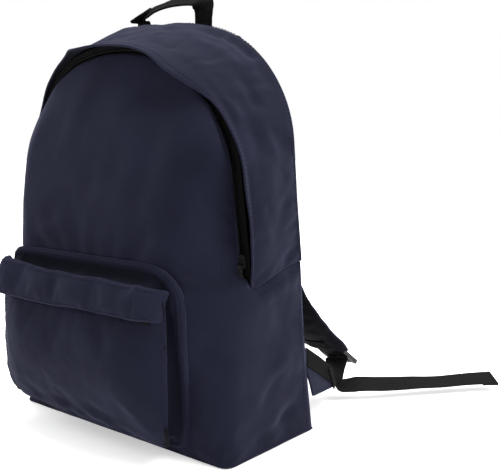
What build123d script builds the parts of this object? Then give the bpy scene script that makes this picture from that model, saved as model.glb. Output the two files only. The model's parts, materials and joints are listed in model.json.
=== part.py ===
from build123d import *
import os
import math

# School backpack. Millimetres. +X is the wearer-facing right hand side seen from the
# front, -Y is the front (pocket side), +Y the back (strap side), +Z up.
# Origin: centre of the base, on the floor.

# ---------------------------------------------------------------- driving sizes
BASE_W = 304.0            # width of the base
BASE_YF = -70.0           # front edge of the base
BASE_YB = 71.0            # back edge of the base
BASE_T = 3.0              # bottom panel thickness
SEAM_Z = 163.0            # horizontal side seam, lower shell to upper gusset
SEAM_W = 296.0            # width at that seam
BELLY_Y = -105.0          # most forward point of the front wall
BELLY_R = 57.0            # front corner rounding at the seam
WALL = 2.5                # padded nylon wall
BACK_TILT = 6.6           # lean of the back panel, degrees
BACK_W = 148.5            # half width of the back arch
BACK_SH, BACK_AP = 392.0, 434.0
BACK_RS, BACK_RA = 120.0, 220.0
ZIP_TILT = 9.38           # lean of the main zip plane, degrees
ZIP_Y0 = 0.45             # main zip plane at floor level
ZIP_W = 147.0             # half width of the zip arch
ZIP_SH, ZIP_AP = 372.0, 404.0
ZIP_RS, ZIP_RA = 125.0, 225.0
FLAP_LEN = 20.0           # rain flap over the main zip
FLAP_T = 2.0
PANEL_T = 15.5            # front panel inset from the arch edge
FOLD_Z = 200.0            # fold line of the front panel
TAPE_T = 0.8
TEETH_H = 2.4
BACK_FOAM = 8.0
POCK_W, POCK_Z0, POCK_Z1 = 119.0, 16.0, 175.0
POCK_Y = -137.0
WEB_W = 25.0
WEB_T = 1.6

os.makedirs("parts", exist_ok=True)


def save(shape, name):
    export_step(shape, "parts/" + name + ".step")


def both(shape):
    return Compound(children=[shape, mirror(shape, about=Plane.YZ)])


def save_pair(shape, name):
    save(shape, name + "_right")
    save(mirror(shape, about=Plane.YZ), name + "_left")


# ---------------------------------------------------------------- arch outlines
def corner(p0, p1, p2, r):
    """Tangent points and middle point of a fillet of radius r at p1."""
    a = Vector(*p0) - Vector(*p1)
    b = Vector(*p2) - Vector(*p1)
    a, b = a.normalized(), b.normalized()
    half = math.radians(a.get_angle(b)) / 2
    t = r / math.tan(half)
    mid_dir = (a + b).normalized()
    centre = Vector(*p1) + mid_dir * (r / math.sin(half))
    m = centre - mid_dir * r
    q1 = Vector(*p1) + a * t
    q2 = Vector(*p1) + b * t
    return (q1.X, q1.Y), (m.X, m.Y), (q2.X, q2.Y)


def arch_wire(w, sh, ap, rs, ra, t, low, plane):
    """Arched outline inset by t; eight edges, always in the same order."""
    ang = math.atan((ap - sh) / w)
    top = ap - t / math.cos(ang)
    shz = top - (w - t) * math.tan(ang)
    x = w - t
    pts = [(-x, low), (x, low), (x, shz), (0, top), (-x, shz)]
    c2 = corner(pts[1], pts[2], pts[3], rs - t)
    c3 = corner(pts[2], pts[3], pts[4], ra - t)
    c4 = corner(pts[3], pts[4], pts[0], rs - t)

    def P(p):
        return plane.from_local_coords(Vector(p[0], p[1], 0))
    e = [
        Edge.make_line(P(pts[0]), P(pts[1])),
        Edge.make_line(P(pts[1]), P(c2[0])),
        Edge.make_three_point_arc(P(c2[0]), P(c2[1]), P(c2[2])),
        Edge.make_line(P(c2[2]), P(c3[0])),
        Edge.make_three_point_arc(P(c3[0]), P(c3[1]), P(c3[2])),
        Edge.make_line(P(c3[2]), P(c4[0])),
        Edge.make_three_point_arc(P(c4[0]), P(c4[1]), P(c4[2])),
        Edge.make_line(P(c4[2]), P(pts[0])),
    ]
    return Wire(e)


def tilt_plane(y0, tilt):
    s, c = math.sin(math.radians(tilt)), math.cos(math.radians(tilt))
    return Plane(origin=(0, y0, 0), x_dir=(1, 0, 0), z_dir=(0, -c, -s))


BACK = tilt_plane(BASE_YB, BACK_TILT)
ZIP = tilt_plane(ZIP_Y0, ZIP_TILT)
CB = math.cos(math.radians(BACK_TILT))
CZ = math.cos(math.radians(ZIP_TILT))


def shifted(plane, n):
    return Plane(origin=plane.origin + plane.z_dir * n, x_dir=plane.x_dir, z_dir=plane.z_dir)


def back_arch(t, n=0.0, low=60.0):
    return arch_wire(BACK_W, BACK_SH / CB, BACK_AP / CB, BACK_RS, BACK_RA, t, low, shifted(BACK, n))


def zip_arch(t, n=0.0, low=60.0):
    return arch_wire(ZIP_W, ZIP_SH / CZ, ZIP_AP / CZ, ZIP_RS, ZIP_RA, t, low, shifted(ZIP, n))


def slab(wire, plane, depth):
    return Solid.extrude(Face(wire), plane.z_dir * depth)


def zip_ring(t0, t1, n0, n1):
    a = slab(zip_arch(t0, n0), ZIP, n1 - n0)
    b = slab(zip_arch(t1, n0 - 1, 50.0), ZIP, n1 - n0 + 2)
    return a - b


def zbox(z0, z1, x0=-400, x1=400, y0=-400, y1=400):
    return Pos((x0 + x1) / 2, (y0 + y1) / 2, (z0 + z1) / 2) * Box(x1 - x0, y1 - y0, z1 - z0)


def one(shape):
    """The solids of a result as one object."""
    s = shape.solids()
    return s[0] if len(s) == 1 else Compound(children=list(s))


# ---------------------------------------------------------------- lower body
def rrect_wire(x, yf, yb, rf, rb, z):
    k = math.sqrt(0.5)
    e = [
        Edge.make_line((-x + rf, yf, z), (x - rf, yf, z)),
        Edge.make_three_point_arc((x - rf, yf, z), (x - rf + rf * k, yf + rf - rf * k, z), (x, yf + rf, z)),
        Edge.make_line((x, yf + rf, z), (x, yb - rb, z)),
        Edge.make_three_point_arc((x, yb - rb, z), (x - rb + rb * k, yb - rb + rb * k, z), (x - rb, yb, z)),
        Edge.make_line((x - rb, yb, z), (-x + rb, yb, z)),
        Edge.make_three_point_arc((-x + rb, yb, z), (-x + rb - rb * k, yb - rb + rb * k, z), (-x, yb - rb, z)),
        Edge.make_line((-x, yb - rb, z), (-x, yf + rf, z)),
        Edge.make_three_point_arc((-x, yf + rf, z), (-x + rf - rf * k, yf + rf - rf * k, z), (-x + rf, yf, z)),
    ]
    return Wire(e)


def yback(z):
    return BASE_YB - z * math.tan(math.radians(BACK_TILT))


def body_section(z, inset=0.0, extra_back=0.0):
    f = (z - BASE_T) / (SEAM_Z - BASE_T)
    x = BASE_W / 2 + (SEAM_W / 2 - BASE_W / 2) * f
    yf = BASE_YF + (BELLY_Y - BASE_YF) * f
    rf = 10.0 + (BELLY_R - 10.0) * f
    return rrect_wire(x - inset, yf + inset, yback(z) + extra_back, max(rf - inset, 4.0), 5.0, z)


bottom_panel = extrude(make_face(rrect_wire(BASE_W / 2, BASE_YF, yback(0), 10.0, 5.0, 0.0).edges()), BASE_T, dir=(0, 0, 1))
save(one(bottom_panel), "bottom_panel")

lower_full = Solid.make_loft([body_section(BASE_T), body_section(SEAM_Z)], ruled=True)
lower_void = Solid.make_loft([body_section(BASE_T - 0.0, WALL, 40.0), body_section(SEAM_Z - WALL, WALL, 40.0)], ruled=True)


# front wall above the seam: arch prism, side profile and plan rounding together
def side_profile(dy, z0=120.0, z1=430.0):
    pts = [(BELLY_Y + dy, z0), (BELLY_Y + dy, 185.0), (-91.0 + dy, 295.0), (-60.0 + dy, 396.0), (-48.0 + dy, z1), (120.0, z1), (120.0, z0)]
    P = [Vector(-200, y, z) for y, z in pts]
    e = [
        Edge.make_line(P[0], P[1]),
        Edge.make_three_point_arc(P[1], P[2], P[3]),
        Edge.make_line(P[3], P[4]),
        Edge.make_line(P[4], P[5]),
        Edge.make_line(P[5], P[6]),
        Edge.make_line(P[6], P[0]),
    ]
    return Solid.extrude(Face(Wire(e)), Vector(400, 0, 0))


def dome(t, dy, n_start):
    a = slab(zip_arch(t, n_start, 40.0), ZIP, 130.0 - n_start)
    b = side_profile(dy)
    c = Solid.extrude(Face(rrect_wire(SEAM_W / 2 - dy, BELLY_Y + dy, 120.0, BELLY_R - dy, 5.0, 120.0)), Vector(0, 0, 320))
    return (a & b) & c


dome_out = dome(PANEL_T, 0.0, 0.0)
dome_in = dome(PANEL_T + WALL, WALL, -30.0)
dome_shell = dome_out - dome_in
collar = dome_shell & zbox(SEAM_Z, FOLD_Z)
front_panel = dome_shell & zbox(FOLD_Z + 0.4, 450)

lower_shell = lower_full - lower_void
lower_shell = lower_shell - zbox(150, 170, -SEAM_W / 2 + WALL + 1, SEAM_W / 2 - WALL - 1, ZIP_Y0 - SEAM_Z * math.tan(math.radians(ZIP_TILT)), 120)
lower_shell = lower_shell - (dome_in & zbox(150, 175))
back_skin = Solid.extrude(Face(Wire.make_polygon([BACK.from_local_coords(Vector(*p)) for p in [(-300, -50, -40), (300, -50, -40), (300, 600, -40), (-300, 600, -40)]])), BACK.z_dir * 41.5)
lower_shell = lower_shell - back_skin
lower_shell = one(lower_shell + collar)
save(lower_shell, "lower_shell")

# ---------------------------------------------------------------- upper gusset
gusset_out = Solid.make_loft([zip_arch(0.0), back_arch(0.0)], ruled=True)
gusset_in = Solid.make_loft([zip_arch(WALL, 0.0, 55.0), back_arch(WALL, 0.0, 55.0)], ruled=True)
upper_gusset = (gusset_out - gusset_in) & zbox(SEAM_Z, 500)
upper_gusset = one(upper_gusset - back_skin)
save(upper_gusset, "upper_gusset")

zip_flap = one(zip_ring(0.0, FLAP_T, 0.0, FLAP_LEN) & zbox(SEAM_Z, 500))
save(zip_flap, "zip_flap")

main_zip_tape_outer = one(zip_ring(WALL, 6.0, -TAPE_T, 0.0) & zbox(SEAM_Z + 0.1, 500))
save(main_zip_tape_outer, "main_zip_tape_outer")
main_zip_teeth_outer = one(zip_ring(6.0, 8.4, -TEETH_H / 2, TEETH_H / 2) & zbox(SEAM_Z + 0.1, 500))
save(main_zip_teeth_outer, "main_zip_teeth_outer")
teeth_in = zip_ring(9.8, 12.2, -TEETH_H / 2, TEETH_H / 2)
tape_in = zip_ring(12.2, 17.5, -TAPE_T, 0.0)
save(one(tape_in & zbox(FOLD_Z + 0.4, 500)), "main_zip_tape_inner")
save(one(teeth_in & zbox(FOLD_Z + 0.4, 500)), "main_zip_teeth_inner")
save(one(tape_in & zbox(SEAM_Z + 0.1, FOLD_Z)), "main_zip_tape_inner_ends")
save(one(teeth_in & zbox(SEAM_Z + 0.1, FOLD_Z)), "main_zip_teeth_inner_ends")
save(one(front_panel), "front_panel")

# ---------------------------------------------------------------- back panel
def back_outline(t, n, depth, z0):
    up = slab(back_arch(t, n), BACK, depth) & zbox(SEAM_Z, 500)
    lo = Face(Wire.make_polygon([shifted(BACK, n).from_local_coords(Vector(x, v, 0)) for x, v in
              [(-BASE_W / 2 + t, 0), (BASE_W / 2 - t, 0), (SEAM_W / 2 - t, SEAM_Z / CB + 4), (-SEAM_W / 2 + t, SEAM_Z / CB + 4)]]))
    lo = Solid.extrude(lo, BACK.z_dir * depth) & zbox(z0, SEAM_Z)
    return up + lo


save(one(back_outline(0.6, 0.0, 1.5, BASE_T)), "back_panel_outer")
save(one(back_outline(7.0, 1.5, BACK_FOAM, BASE_T)), "back_panel_foam")
save(one(back_outline(7.0, 1.5 + BACK_FOAM, 1.0, BASE_T)), "back_panel_lining")
bind = slab(back_arch(7.4, 10.5), BACK, 1.0) - slab(back_arch(17.0, 9.5, 50.0), BACK, 3.0)
save(one(bind & zbox(SEAM_Z, 500)), "back_seam_binding")

# reinforcement band that the shoulder straps are sewn under
band = Solid.extrude(Face(Wire.make_polygon([shifted(BACK, 0).from_local_coords(Vector(x, v, 0)) for x, v in
        [(-104, 386 / CB), (104, 386 / CB), (88, 407 / CB), (-88, 407 / CB)]])), BACK.z_dir * -1.2)
save(one(band), "strap_anchor_band")

# ---------------------------------------------------------------- main zip sliders
def zip_local(plane):
    """Solid given in (u, v, n) of the plane, moved into the part frame."""
    return Location(plane)


def lbox(u0, u1, v0, v1, n0, n1):
    return Pos((u0 + u1) / 2, (v0 + v1) / 2, (n0 + n1) / 2) * Box(u1 - u0, v1 - v0, n1 - n0)


def ucyl(u0, u1, v, n, r):
    """Cylinder along u."""
    return Pos((u0 + u1) / 2, v, n) * Rot(0, 90, 0) * Cylinder(r, u1 - u0)


def vcyl(v0, v1, u, n, r):
    """Cylinder along v."""
    return Pos(u, (v0 + v1) / 2, n) * Rot(90, 0, 0) * Cylinder(r, v1 - v0)


SL_U = ZIP_W - 9.1        # centre of the chain on the straight side
SL_V = 190.0 / CZ         # slider centre at rest, along the zip plane
PIN_V, PIN_N = SL_V - 4.0, 5.2
slider = (lbox(SL_U - 4.3, SL_U + 4.3, SL_V - 6.5, SL_V + 6.5, 1.6, 3.0)
          + lbox(SL_U - 4.3, SL_U + 4.3, SL_V - 6.5, SL_V + 6.5, -3.2, -1.6)
          + lbox(SL_U - 0.35, SL_U + 0.35, SL_V - 1.0, SL_V + 6.5, -1.6, 1.6)
          + lbox(SL_U - 3.6, SL_U - 2.6, PIN_V - 1.6, PIN_V + 1.6, 3.0, 6.2)
          + lbox(SL_U + 2.6, SL_U + 3.6, PIN_V - 1.6, PIN_V + 1.6, 3.0, 6.2)
          + ucyl(SL_U - 3.0, SL_U + 3.0, PIN_V, PIN_N, 0.6))
save_pair(one(zip_local(ZIP) * slider), "main_slider")
pull = (ucyl(SL_U - 2.1, SL_U + 2.1, PIN_V, PIN_N, 1.7)
        + lbox(SL_U - 2.1, SL_U + 2.1, PIN_V - 19.0, PIN_V, PIN_N - 0.7, PIN_N + 0.7))
pull = pull - ucyl(SL_U - 4, SL_U + 4, PIN_V, PIN_N, 0.95) - ucyl(SL_U - 4, SL_U - 2.1, PIN_V, PIN_N, 3)
save_pair(one(zip_local(ZIP) * pull), "main_pull")

# ---------------------------------------------------------------- front pocket
def pocket(t):
    x, z0, z1 = POCK_W - t, POCK_Z0 + t, POCK_Z1 - t
    r = 16.0 - t
    k = math.sqrt(0.5)
    c = [(-x, z0), (x, z0), (x, z1), (-x, z1)]

    def Q(px, pz):
        return Vector(px, -60, pz)
    e = [
        Edge.make_line(Q(-x + r, z0), Q(x - r, z0)),
        Edge.make_three_point_arc(Q(x - r, z0), Q(x - r + r * k, z0 + r - r * k), Q(x, z0 + r)),
        Edge.make_line(Q(x, z0 + r), Q(x, z1 - r)),
        Edge.make_three_point_arc(Q(x, z1 - r), Q(x - r + r * k, z1 - r + r * k), Q(x - r, z1)),
        Edge.make_line(Q(x - r, z1), Q(-x + r, z1)),
        Edge.make_three_point_arc(Q(-x + r, z1), Q(-x + r - r * k, z1 - r + r * k), Q(-x, z1 - r)),
        Edge.make_line(Q(-x, z1 - r), Q(-x, z0 + r)),
        Edge.make_three_point_arc(Q(-x, z0 + r), Q(-x + r - r * k, z0 + r - r * k), Q(-x + r, z0)),
    ]
    a = Solid.extrude(Face(Wire(e)), Vector(0, -100, 0))
    pts = [(-96 + t, 8.0), (POCK_Y + t, 88.0), (-128.0 + t, 140.0), (-120.0 + t, 178.86), (-20.0, 178.86), (-20.0, 8.0)]
    P = [Vector(-200, y, z) for y, z in pts]
    b = Solid.extrude(Face(Wire([
        Edge.make_three_point_arc(P[0], P[1], P[2]), Edge.make_line(P[2], P[3]),
        Edge.make_line(P[3], P[4]), Edge.make_line(P[4], P[5]), Edge.make_line(P[5], P[0])])), Vector(400, 0, 0))
    cc = Solid.extrude(Face(rrect_wire(x, POCK_Y + t - 1.0, 0.0, 20.0 - t, 5.0, 0.0)), Vector(0, 0, 200))
    return (a & b) & cc


PTILT = math.degrees(math.atan2(8.0, 38.86))
PZ = Plane(origin=(0, -128.0, 140.0), x_dir=(1, 0, 0),
           z_dir=(0, -math.cos(math.radians(PTILT)), math.sin(math.radians(PTILT))) )
# y_dir of this plane runs up the pocket front
if PZ.y_dir.Z < 0:
    PZ = Plane(origin=PZ.origin, x_dir=(-1, 0, 0), z_dir=PZ.z_dir)
PL = Location(PZ)
pocket_shell = pocket(0.0) - pocket(2.0)
pocket_shell = pocket_shell - lower_full - dome_out
slot = PL * lbox(-108, 108, 2, 18, -8, 6)
pocket_shell = pocket_shell - slot
front_zone = zbox(22, 169, -113, 113, -170, -60)
pocket_front = pocket_shell & front_zone
pocket_gusset = pocket_shell - front_zone
save(one(pocket_front), "pocket_front_panel")
save(one(pocket_gusset), "pocket_gusset")
save(one(PL * lbox(-108, 108, 2.0, 6.95, -1.6, -0.8)), "pocket_zip_tape_lower")
save(one(PL * lbox(-108, 108, 13.05, 18.0, -1.6, -0.8)), "pocket_zip_tape_upper")
save(one(PL * lbox(-104, 104, 6.95, 9.35, -2.4, 0.0)), "pocket_zip_teeth_lower")
save(one(PL * lbox(-104, 104, 10.65, 13.05, -2.4, 0.0)), "pocket_zip_teeth_upper")
stops = PL * (lbox(-107.5, -104, 7.2, 12.8, -2.4, 0.4)) + PL * (lbox(104, 107.5, 7.2, 12.8, -2.4, 0.4))
save(Compound(children=list(stops.solids())), "pocket_zip_stops")

PS_U = 94.0
pslider = (lbox(PS_U - 6, PS_U + 6, 5.9, 14.1, 0.5, 1.7)
           + lbox(PS_U - 6, PS_U + 6, 5.9, 14.1, -4.1, -2.8)
           + lbox(PS_U - 1, PS_U + 6, 9.65, 10.35, -2.8, 0.5)
           + lbox(PS_U - 3.4, PS_U - 0.4, 6.6, 7.6, 1.7, 4.9)
           + lbox(PS_U - 3.4, PS_U - 0.4, 12.4, 13.4, 1.7, 4.9)
           + vcyl(7.0, 13.0, PS_U - 1.9, 3.9, 0.55))
save(one(PL * pslider), "pocket_slider")
ppull = (vcyl(7.95, 12.05, PS_U - 1.9, 3.9, 1.4)
         + lbox(PS_U - 1.9 - 15.0, PS_U - 1.9, 7.95, 12.05, 3.3, 4.5))
ppull = ppull - vcyl(6, 14, PS_U - 1.9, 3.9, 0.9)
save(one(PL * ppull), "pocket_pull")

# rain flap over the pocket zip, hinged at its seam
FLU, FLV, FLN = 113.0, 31.0, 1.9
flap = (ucyl(-FLU, FLU, FLV, FLN, 1.5)
        + lbox(-FLU, FLU, FLV - 1.2, FLV + 1.0, FLN, 13.0)
        + lbox(-FLU, FLU, -3.0, FLV + 1.0, 10.8, 13.0))
save(one(PL * flap), "pocket_flap")

# ---------------------------------------------------------------- grab handle
HY, HZ = 22.0, 428.4


def xz_rrect(x, z0, z1, r, y0, y1):
    k = math.sqrt(0.5)

    def Q(px, pz):
        return Vector(px, y0, pz)
    e = [
        Edge.make_line(Q(-x, z0), Q(x, z0)),
        Edge.make_line(Q(x, z0), Q(x, z1 - r)),
        Edge.make_three_point_arc(Q(x, z1 - r), Q(x - r + r * k, z1 - r + r * k), Q(x - r, z1)),
        Edge.make_line(Q(x - r, z1), Q(-x + r, z1)),
        Edge.make_three_point_arc(Q(-x + r, z1), Q(-x + r - r * k, z1 - r + r * k), Q(-x, z1 - r)),
        Edge.make_line(Q(-x, z1 - r), Q(-x, z0)),
    ]
    return Solid.extrude(Face(Wire(e)), Vector(0, y1 - y0, 0))


handle = xz_rrect(54.0, HZ + 1.0, 447.0, 12.0, HY - 1.1, HY + 1.1) - xz_rrect(31.0, HZ - 5, 443.0, 6.0, HY - 5, HY + 5)
handle = handle + zbox(444.8, 447.0, -42, 42, HY - 11, HY + 11)
save(one(handle), "grab_handle")
foot = zbox(414, HZ - 1.4, 31, 54, HY - 1.1, HY + 1.1) - gusset_out
ft = foot.solids()
save(both(max(ft, key=lambda s: s.volume)), "handle_feet")

# ---------------------------------------------------------------- shoulder straps
A = Vector(66, 27, 398)
T = Vector(146, 68, 62)
a_dir = (T - A).normalized()
o_dir = Vector(-0.248, 0.967, 0.059)
o_dir = (o_dir - a_dir * o_dir.dot(a_dir)).normalized()
n_dir = a_dir.cross(o_dir).normalized()
# the pad lies along the back at first, nearer the middle than its lower tab, then swings out
pad_a = (Vector(100, 68, 62) - A).normalized()
pad_o = Vector(106, 172, 62) - A
pad_o = (pad_o - pad_a * pad_o.dot(pad_a)).normalized()
pad_n = pad_a.cross(pad_o).normalized()
CURVE = [(6, 8), (34, 13.5), (68, 15.5), (100, 16.5), (132, 17.5), (163, 18.5), (190, 19.5), (213, 21), (238, 25), (263, 33), (287, 46), (310, 62), (332, 81), (353, 103)]
PAD_W = 62.0


def SR(s, r, w=0.0):
    return A + pad_a * s + pad_o * r + pad_n * w


def curve_offset(pts, d):
    out = []
    for i, (s, r) in enumerate(pts):
        s0, r0 = pts[max(i - 1, 0)]
        s1, r1 = pts[min(i + 1, len(pts) - 1)]
        ts, tr = s1 - s0, r1 - r0
        L = math.hypot(ts, tr)
        out.append((s - tr / L * d, r + ts / L * d))
    return out


def band_solid(pts, d0, d1, w0, w1):
    """Band between two offsets of the strap curve, w0..w1 across."""
    p = curve_offset(pts, d0)
    q = curve_offset(pts, d1)
    e0 = Edge.make_spline([SR(s, r, w0) for s, r in p])
    e1 = Edge.make_spline([SR(s, r, w0) for s, r in q])
    f = Face(Wire([e0, Edge.make_line(e0 @ 1, e1 @ 1), e1, Edge.make_line(e1 @ 0, e0 @ 0)]))
    return Solid.extrude(f, pad_n * (w1 - w0))


ROOT = [(8, 8.6), (16, 10.6), (24, 12.2), (32.5, 13.3)]
MOVE = [(38.5, 13.8)] + CURVE[2:]
hw = PAD_W / 2
save_pair(band_solid(MOVE, 4.8, 6.0, -hw, hw), "strap_cover")
save_pair(band_solid(MOVE, -4.8, 4.8, -hw + 1.5, hw - 1.5), "strap_foam")
save_pair(band_solid(MOVE, -6.0, -4.8, -hw, hw), "strap_lining")
root = band_solid(ROOT, -5.0, 5.0, -hw + 6, hw - 2)
inside = Solid.extrude(Face(Wire.make_polygon([BACK.from_local_coords(Vector(*p)) for p in [(-300, -50, 0), (300, -50, 0), (300, 600, 0), (-300, 600, 0)]])), BACK.z_dir * 60)
rs = [s for s in (root - inside - band).solids()]
save_pair(max(rs, key=lambda s: s.volume), "strap_root")

# frame of the strap end: t along the strap, m away from the wearer
ts, tr = CURVE[-1][0] - CURVE[-2][0], CURVE[-1][1] - CURVE[-2][1]
L = math.hypot(ts, tr)
t_dir = (pad_a * (ts / L) + pad_o * (tr / L)).normalized()
m_dir = (pad_a * (-tr / L) + pad_o * (ts / L)).normalized()
E = SR(*CURVE[-1])
EP = Plane(origin=E, x_dir=pad_n, z_dir=m_dir)      # y_dir is +-t
SG = 1.0 if EP.y_dir.dot(t_dir) > 0 else -1.0
EL = Location(EP)


def ebox(w0, w1, t0, t1, m0, m1):
    v0, v1 = sorted((SG * t0, SG * t1))
    return lbox(w0, w1, v0, v1, m0, m1)


def ecyl(w0, w1, t, m, r):
    return ucyl(w0, w1, SG * t, m, r)


# webbing loop sewn to the pad end, round the top bar of the ladder lock
loop = (ebox(-12.5, 12.5, 0.6, 13.0, -4.1, 4.1) + ecyl(-12.5, 12.5, 13.0, 0, 4.1)) \
    - (ebox(-13, 13, 4.0, 13.0, -2.6, 2.6) + ecyl(-13, 13, 13.0, 0, 2.6))
save_pair(one(EL * loop), "strap_end_loop")
LT = 13.0
lock = (ecyl(-17, 17, LT, 0, 2.0) + ebox(-18, -14.2, LT - 2.5, LT + 27, -2.4, 2.4) + ebox(14.2, 18, LT - 2.5, LT + 27, -2.4, 2.4)
        + ecyl(-17, 17, LT + 12, 0, 1.8) + ebox(-17, 17, LT + 22, LT + 27, -1.6, 2.6))
save_pair(one(EL * lock), "ladder_lock")
# the bite of lower webbing round the middle bar
bite = (ecyl(-12.3, 12.3, LT + 12, 0, 3.7) - ecyl(-13, 13, LT + 12, 0, 2.1)) & ebox(-13, 13, LT + 5, LT + 13.2, -5, 5)
save_pair(one(EL * bite), "webbing_bite")

# lower tab: a triangle in the plane of the strap loop, tip towards the wearer's waist
TIP = Vector(130, 131, 40)


def quad_plate(p, thick, nrm):
    f = Face(Wire.make_polygon([q + nrm * (-thick / 2) for q in p]))
    return Solid.extrude(f, nrm * thick)


root_mid = T + o_dir * 4.2
tip_dir = (TIP - root_mid)
tip_dir = (tip_dir - n_dir * tip_dir.dot(n_dir))
TIPP = root_mid + tip_dir
tab = quad_plate([root_mid - a_dir * 27, root_mid + a_dir * 27, TIPP + a_dir * 12.5, TIPP - a_dir * 12.5], 2.0, n_dir)
save_pair(one(tab), "lower_tab")
tongue = Pos(0, 0, 0) * zbox(36, 88, T.X - 4.2, T.X + 1.4, 50, 68.4)
tongue = tongue - back_skin
tongue = zbox(36, 88, T.X - 4.2, T.X + 1.4, 50, 68.2) & Solid.extrude(Face(Wire.make_polygon([BACK.from_local_coords(Vector(*p)) for p in [(-300, -50, 0), (300, -50, 0), (300, 600, 0), (-300, 600, 0)]])), BACK.z_dir * -40)
save(both(one(tongue)), "lower_tab_roots")

# lower webbing, tab tip to ladder lock, twisting a quarter turn
LK = E + t_dir * (LT + 12)
u_dir = (LK - TIPP).normalized()


def rect_wire(c, wd, hd, w, h):
    p = [c - wd * w / 2 - hd * h / 2, c + wd * w / 2 - hd * h / 2, c + wd * w / 2 + hd * h / 2, c - wd * w / 2 + hd * h / 2]
    return Wire.make_polygon(p)


q0 = TIPP + u_dir * 3.2
q1 = LK - u_dir * 12.0
w0 = (a_dir - u_dir * a_dir.dot(u_dir)).normalized()
h0 = u_dir.cross(w0)
w1 = (pad_n - u_dir * pad_n.dot(u_dir)).normalized()
h1 = u_dir.cross(w1)
if w0.dot(w1) < 0:
    w1, h1 = w1 * -1, h1 * -1
mid = (w0 + w1).normalized()
qm = (q0 + q1) * 0.5
hm = u_dir.cross(mid)
lw1 = Solid.make_loft([rect_wire(q0, w0, h0, WEB_W, WEB_T), rect_wire(qm, mid, hm, WEB_W, WEB_T)], ruled=True)
lw2 = Solid.make_loft([rect_wire(qm, mid, hm, WEB_W, WEB_T), rect_wire(q1, w1, h1, WEB_W, WEB_T)], ruled=True)
save_pair(one(lw1 + lw2), "lower_webbing")

# webbing from the ladder lock down to the fold by the floor, then the free tail
FOLD = Vector(114, 171, 16)
g_dir = (LK - FOLD).normalized()
gw = (pad_n - g_dir * pad_n.dot(g_dir)).normalized()
gh = g_dir.cross(gw)
drop = Solid.make_loft([rect_wire(LK - g_dir * 11.0, gw, gh, WEB_W, WEB_T), rect_wire(FOLD + g_dir * 11.5, gw, gh, WEB_W, WEB_T)], ruled=True)
save_pair(one(drop), "webbing_drop")

TAIL_END = Vector(242, 336, 11)
d_dir = (TAIL_END - FOLD).normalized()
side = Vector(d_dir.Y, -d_dir.X, 0).normalized()
up = side.cross(d_dir).normalized()
if up.Z < 0:
    up = up * -1
lean = math.radians(20)
tw = side * math.cos(lean) - up * math.sin(lean)
th = d_dir.cross(tw).normalized()
tail = Solid.make_loft([rect_wire(FOLD + d_dir * 5.0, tw, th, WEB_W, WEB_T), rect_wire(TAIL_END, tw, th, WEB_W, WEB_T)], ruled=True)
save_pair(one(tail), "webbing_tail")

print("E", tuple(round(c, 3) for c in E), "t", tuple(round(c, 5) for c in t_dir), "m", tuple(round(c, 5) for c in m_dir), "pad_n", tuple(round(c, 5) for c in pad_n), "LK", tuple(round(c, 3) for c in LK))
print("a", tuple(round(c, 5) for c in a_dir), "A", tuple(A), "n", tuple(round(c, 5) for c in n_dir))
print("lock bar", tuple(round(c, 3) for c in (E + t_dir * LT)), "tail axis", tuple(round(c, 5) for c in side), "tail fold", tuple(FOLD))
for sx in (1, -1):
    c = ZIP.from_local_coords(Vector(SL_U * sx, PIN_V, PIN_N))
    print("main pull pin", tuple(round(v, 3) for v in c))
print("zip up", tuple(round(c, 5) for c in ZIP.y_dir))
c = PL * Pos(PS_U - 1.9, 10, 3.9)
print("pocket pin", tuple(round(v, 3) for v in c.position), "axis", tuple(round(v, 5) for v in PZ.y_dir))
c = PL * Pos(0, FLV, FLN)
print("flap hinge", tuple(round(v, 3) for v in c.position), "PZ x", tuple(PZ.x_dir))
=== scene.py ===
import bpy
import bmesh
import json
import math
import numpy as np
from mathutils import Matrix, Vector, noise

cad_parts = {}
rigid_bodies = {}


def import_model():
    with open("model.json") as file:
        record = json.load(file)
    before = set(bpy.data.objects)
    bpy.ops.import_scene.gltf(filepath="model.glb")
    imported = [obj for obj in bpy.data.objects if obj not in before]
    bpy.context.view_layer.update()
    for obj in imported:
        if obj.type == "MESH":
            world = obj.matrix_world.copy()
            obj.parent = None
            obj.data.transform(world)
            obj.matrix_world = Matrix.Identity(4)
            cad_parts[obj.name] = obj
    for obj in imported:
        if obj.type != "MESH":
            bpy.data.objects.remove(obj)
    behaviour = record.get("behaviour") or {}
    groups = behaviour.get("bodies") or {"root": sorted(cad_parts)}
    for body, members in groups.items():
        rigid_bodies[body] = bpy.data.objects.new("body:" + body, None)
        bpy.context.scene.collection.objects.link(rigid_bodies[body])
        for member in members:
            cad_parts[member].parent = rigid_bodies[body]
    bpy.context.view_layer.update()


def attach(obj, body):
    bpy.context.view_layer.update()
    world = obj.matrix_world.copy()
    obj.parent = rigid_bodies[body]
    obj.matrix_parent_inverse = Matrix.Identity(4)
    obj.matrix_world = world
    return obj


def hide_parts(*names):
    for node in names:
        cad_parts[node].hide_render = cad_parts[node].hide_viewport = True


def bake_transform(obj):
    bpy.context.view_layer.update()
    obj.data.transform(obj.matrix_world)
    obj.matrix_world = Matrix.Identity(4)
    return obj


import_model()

MM = 0.001

# ------------------------------------------------------------------ frame of the bag (mm)
TB, TZ = math.radians(6.6), math.radians(9.38)
SB, CB, SZ, CZ = math.sin(TB), math.cos(TB), math.sin(TZ), math.cos(TZ)


def yb(z):
    return 71.0 - np.asarray(z, float) * math.tan(TB)


def yz(z):
    return 0.45 - np.asarray(z, float) * math.tan(TZ)


def back_pt(x, v, n=0.0):
    return np.stack([x + 0 * v, 71.0 - v * SB - n * CB, v * CB - n * SB], -1)


def zip_pt(x, v, n=0.0):
    return np.stack([x + 0 * v, 0.45 - v * SZ - n * CZ, v * CZ - n * SZ], -1)


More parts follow.
